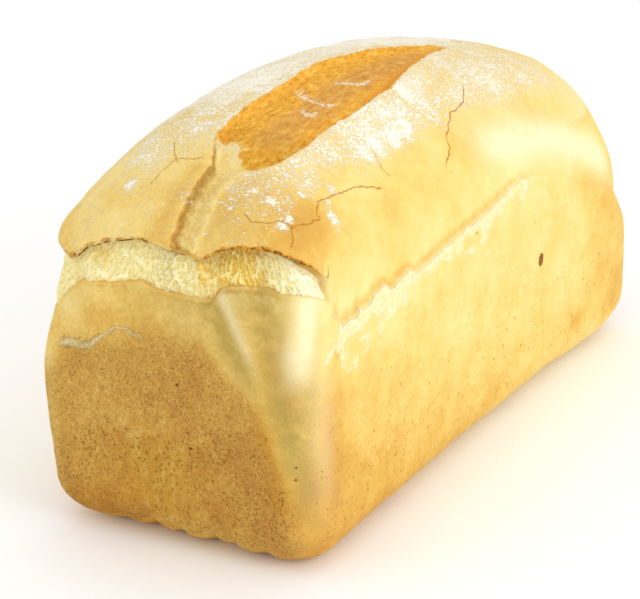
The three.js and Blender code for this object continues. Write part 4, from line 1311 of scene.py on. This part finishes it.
# %% Pits: small and round, and longer ones
# cell in mm, its scale upwards, chance below which it has no pit, largest radius
PIT_SORTS = ((1.0, 0.8, 0.50, 0.34), (1.7, 0.5, 0.60, 0.26))
pits = []
for size, stretch, chance, radius in PIT_SORTS:
    pit_place = add("Mapping", {"Vector": on_loaf, "Scale": (1.0, 1.0, stretch)})
    pit_shift = add("VectorMath", {0: pit_place, 1: (size * MM,) * 3}, operation="ADD")
    pit_cell = {"Vector": pit_shift, "Scale": per_metre(size)}
    pit_luck = add("TexVoronoi", pit_cell, out="Color")
    pit_width = add("MapRange", {"Value": pit_luck, 1: chance, 2: chance + 0.2, 3: 0.0, 4: radius})
    pit_radius = add("Math", {0: pit_width, 1: mask["pits"]}, operation="MULTIPLY")
    pit_off = add("TexVoronoi", pit_cell, out="Distance")
    pit_inside = add("Math", {0: pit_radius, 1: pit_off}, operation="SUBTRACT")
    pits.append(add("MapRange", {"Value": pit_inside, 1: 0.0, 2: 0.08}, **SMOOTHSTEP))
pit = add("Math", {0: pits[0], 1: pits[1]}, operation="MAXIMUM")
layers.append((add("Math", {0: pit, 1: 0.5}, operation="MULTIPLY"), colour("#8E5714")))
print("pits:", len(layers), "layers")

# %% [markdown]
# ### Torn skin, specks and the end's split
# Skin that tore as the dough sprang out of the tin hangs under the rim as pale
# flakes; a few crumbs burnt on as specks; and the end split open in one place,
# with a brown rim round the split that is partly painted shade.

# %% Flakes, specks and split
SHRED = [(0.33, "#E8CE86"), (0.44, "#F2E0A6"), (0.58, "#F9EEC6")]
SPLIT = [(0.34, "#B89C5C"), (0.46, "#D9C68C"), (0.6, "#EEE2B6")]
layers += [
    (share["shred"], add("ValToRGB", {"Fac": crumble}, stops=SHRED)),
    (share["specks"], colour("#7A4416")),
    # the split's brown rim, partly painted shade
    (share["split_rim"], colour("#A87830")),
    (share["split"], add("ValToRGB", {"Fac": crumble}, stops=SPLIT)),
]
print("flakes, specks and split:", len(layers), "layers")

# %% [markdown]
# ### Flour
# Flour was sieved over the crown before the blade went in, so it lies on the
# crust and not in the slash. It has two parts: a thin veil that whitens wide
# areas, and crisp specks where it caught. Both grow with one mask. A little was
# dragged across the scar afterwards.

# %% Flour: veil and specks
flour_cloud = add("Math", {0: cloud_centred, 1: 0.85, 2: mask["flour"]}, operation="MULTIPLY_ADD")
dust_high = add("Math", {0: flour_cloud, 1: 0.33, 2: dust}, operation="MULTIPLY_ADD")
flour_specks = add("MapRange", {"Value": dust_high, 1: 0.70, 2: 0.75}, **SMOOTHSTEP)
flour_veil = add("MapRange", {"Value": flour_cloud, 1: 0.3, 2: 1.3, 4: 0.45}, **SMOOTHSTEP)
flour_both = add("Math", {0: flour_specks, 1: flour_veil}, operation="MAXIMUM")
flour_here = add("MapRange", {"Value": mask["flour"], 1: 0.03, 2: 0.15})
flour_lies = add("Math", {0: flour_both, 1: flour_here}, operation="MULTIPLY")
slash_floor_share = add("Math", {0: share["floor"], 1: mask["gash_on"]}, operation="MULTIPLY")
closed = 1.0  # 1 where the blade did not open the crust
for opened, amount in ((share["scar"], -0.98), (gash_share, -1.0), (slash_floor_share, -0.8)):
    closed = add("Math", {0: opened, 1: amount, 2: closed}, operation="MULTIPLY_ADD", use_clamp=True)
flour_crust = add("Math", {0: flour_lies, 1: closed}, operation="MULTIPLY")
print("flour:", len(tree.nodes), "nodes")

# %% Flour dragged across the scar
mark_broken = add("MapRange", {"Value": dust, 1: 0.40, 2: 0.58})
flour_marks = add("Math", {0: share["marks"], 1: mark_broken}, operation="MULTIPLY")
flour_seen = add("Math", {0: flour_crust, 1: flour_marks}, operation="MAXIMUM")
layers.append((flour_seen, colour("#F6F0DE")))
print("flour marks:", len(layers), "layers")

# %% [markdown]
# ### Cracks, and all layers together
# Thin crust cracks as it cools, after the flour, so the cracks cut through it and
# are the last layer. The loop then lays each layer over the ones before.

# %% Cracks, then lay the layers
layers.append((share["crack"], colour("#BE7A1C")))
surface = browned
for amount, paint in layers:
    surface = add("Mix", {0: amount, 6: surface, 7: paint}, **RGBA)
print("colour:", len(layers), "layers over the browning,", len(tree.nodes), "nodes")

# %% [markdown]
# ### Fine relief and finish
# What is too fine for the mesh goes into one Bump node: grain, pores, pits, the
# scar's streaks, flour lying on top. Its distance is in metres, so a height of 1
# stands for 0.6 mm. A dry crust reflects little and only broadly, so it is rough
# and its specular level is far below the usual 0.5.

# %% Fine relief and finish
scar_relief = add("Mix", {0: share["scar_brown"], 2: blisters, 3: streaks}, data_type="FLOAT")
scar_share = add("Math", {0: scar_relief, 1: share["scar"]}, operation="MULTIPLY")
floor_share = add("Math", {0: crumble, 1: share["floor"]}, operation="MULTIPLY")
shred_share = add("Math", {0: crumble, 1: share["shred"]}, operation="MULTIPLY")
RELIEF = (
    (grain_share, 0.6), (pore_depth, 2.8), (pit, -0.7), (share["crack"], -0.25), (share["split"], -0.3),
    (flour_seen, 0.25), (scar_share, 0.6), (floor_share, 1.4), (shred_share, 1.0),
)
height = 0.0
for form, amount in RELIEF:
    height = add("Math", {0: form, 1: amount, 2: height}, operation="MULTIPLY_ADD")
bump = add("Bump", {"Height": height, "Strength": 1.0, "Distance": 0.6 * MM})
shader = tree.nodes["Principled BSDF"]
tree.links.new(surface, shader.inputs["Base Color"])
tree.links.new(bump, shader.inputs["Normal"])
shader.inputs["Roughness"].default_value = 0.8
shader.inputs["IOR"].default_value = 1.42
shader.inputs["Specular IOR Level"].default_value = 0.12
loaf_crust.data.materials.append(crust)
print("crust:", len(tree.nodes), "nodes")

# %% [markdown]
# ## Crumb
# The crumb never reached the tin or the open heat, so it stayed cream. Thin walls
# catch the light and look paler than the hollows behind them, and where the tear
# opened late it dried to yolk yellow. The mesh gives the bubbles; the nodes only
# tint them and add the finest pores.

# %% Crumb's colours
crumb = bpy.data.materials.new("torn_bread_crumb")  # soft and matt, paler on its thin walls
crumb.use_nodes = True
tree = crumb.node_tree
in_loaf = add("TexCoord", out="Object")
wall_mask, yolk_mask, white_mask, shade_mask = (
    add("Attribute", attribute_name=name, out="Fac") for name in CRUMB_MASKS
)
fine_pores, soft_patches = (
    add("TexNoise", {"Vector": in_loaf, "Scale": per_metre(size), "Detail": 3.0, "Roughness": 0.6})
    for size in (0.9, 6.0)
)
wall_light = add("Math", {0: wall_mask, 1: 0.62, 2: fine_pores}, operation="MULTIPLY_ADD")
LIGHT_PLACES = (0.30, 0.50, 0.72, 0.95)
CREAM = ("#CDB668", "#EBD88E", "#F8EAA8", "#FDF5CC")
YOLK = ("#CC9C34", "#E4BA52", "#F0D070", "#FBE79C")
WHITE = ("#D2CC90", "#EEE6B2", "#F8F2CC", "#FDFBE6")
cream, yolk_yellow, crumb_white = (
    add("ValToRGB", {"Fac": wall_light}, stops=list(zip(LIGHT_PLACES, codes)))
    for codes in (CREAM, YOLK, WHITE)
)
yolk_uneven = add("Math", {0: soft_patches, 1: 1.6, 2: yolk_mask}, operation="MULTIPLY_ADD")
yolk_share = add("MapRange", {"Value": yolk_uneven, 1: 1.1, 2: 1.75}, **SMOOTHSTEP)
shade_share = add("Math", {0: shade_mask, 1: 0.6}, operation="MULTIPLY")
crumb_colour = cream
for amount, paint in ((yolk_share, yolk_yellow), (white_mask, crumb_white), (shade_share, colour("#B08A44"))):
    crumb_colour = add("Mix", {0: amount, 6: crumb_colour, 7: paint}, **RGBA)
print("crumb's colours:", len(tree.nodes), "nodes")

# %% Crumb's fine relief and finish
crumb_bump = add("Bump", {"Height": fine_pores, "Strength": 0.7, "Distance": 0.35 * MM})
crumb_shader = tree.nodes["Principled BSDF"]
tree.links.new(crumb_colour, crumb_shader.inputs["Base Color"])
tree.links.new(crumb_bump, crumb_shader.inputs["Normal"])
crumb_shader.inputs["Roughness"].default_value = 0.9  # dry and matt, so no glint on the walls
crumb_shader.inputs["IOR"].default_value = 1.42
crumb_shader.inputs["Specular IOR Level"].default_value = 0.1
torn_crumb.data.materials.append(crumb)
print("crumb:", len(tree.nodes), "nodes")

# %% [markdown]
# ## Floor, light and camera
# The loaf stands on a pale floor in a bright studio: a large soft light from the
# right front, the rest from all round. The camera looks down at the torn end and
# the right side from about 23 degrees up, through a long lens.

# %% Floor
FLOOR_HALF = 6  # metres, so that its edge is never in view
floor_mesh = bpy.data.meshes.new("floor")
floor_corners = [(x * FLOOR_HALF, y * FLOOR_HALF, 0) for x, y in ((-1, -1), (1, -1), (1, 1), (-1, 1))]
floor_mesh.from_pydata(floor_corners, [], [(0, 1, 2, 3)])
floor = bpy.data.objects.new("floor", floor_mesh)
bpy.context.scene.collection.objects.link(floor)
floor_paint = bpy.data.materials.new("matt_white_floor")  # paint that only takes shadows
floor_paint.use_nodes = True
floor_shader = floor_paint.node_tree.nodes["Principled BSDF"]
floor_shader.inputs["Base Color"].default_value = colour("#FFFFFF")
floor_shader.inputs["Roughness"].default_value = 1.0
floor_shader.inputs["Specular IOR Level"].default_value = 0.0
floor_mesh.materials.append(floor_paint)
print("floor", 2 * FLOOR_HALF, "m wide")

# %% World and lights
world = bpy.data.worlds.new("studio")
bpy.context.scene.world = world
world.use_nodes = True
world.node_tree.nodes["Background"].inputs["Color"].default_value = colour("#FFFFFF")
world.node_tree.nodes["Background"].inputs["Strength"].default_value = 1.0
bpy.context.scene.view_settings.view_transform = "Standard"
LOAF_MIDDLE = mathutils.Vector((0, 0, 0.07))
key_data = bpy.data.lights.new("key", "AREA")
key_data.size, key_data.energy = 0.9, 8  # metres, watts
key = bpy.data.objects.new("key", key_data)
key.location = (1.5, -0.35, 0.7)
key.rotation_euler = (key.location - LOAF_MIDDLE).to_track_quat("Z", "Y").to_euler()
bpy.context.scene.collection.objects.link(key)
print("key light", round(key.location.length, 2), "m away,", key_data.energy, "W")

# %% Camera
camera_data = bpy.data.cameras.new("camera")
camera_data.sensor_width = 36.0
camera_data.lens = 151.875
camera_data.clip_start, camera_data.clip_end = 0.05, 50
camera = bpy.data.objects.new("camera", camera_data)
# the camera's own right, up and back, as directions of the frame
right_axis = (0.86265254, 0.50473882, -0.0327003)
up_axis = (-0.1680852, 0.34705158, 0.92266059)
back_axis = (0.47705131, -0.79043907, 0.38422405)
turn_matrix = mathutils.Matrix([right_axis, up_axis, back_axis]).transposed()
camera.matrix_world = mathutils.Matrix.Translation((0.4675, -0.797958, 0.432836)) @ turn_matrix.to_4x4()
bpy.context.scene.collection.objects.link(camera)
bpy.context.scene.camera = camera
print("camera", round(camera.matrix_world.translation.length, 2), "m away, lens", camera_data.lens, "mm")

# %% Finish
print("finished loaf: two pieces,", len(loaf_crust.data.polygons) + len(torn_crumb.data.polygons), "faces")
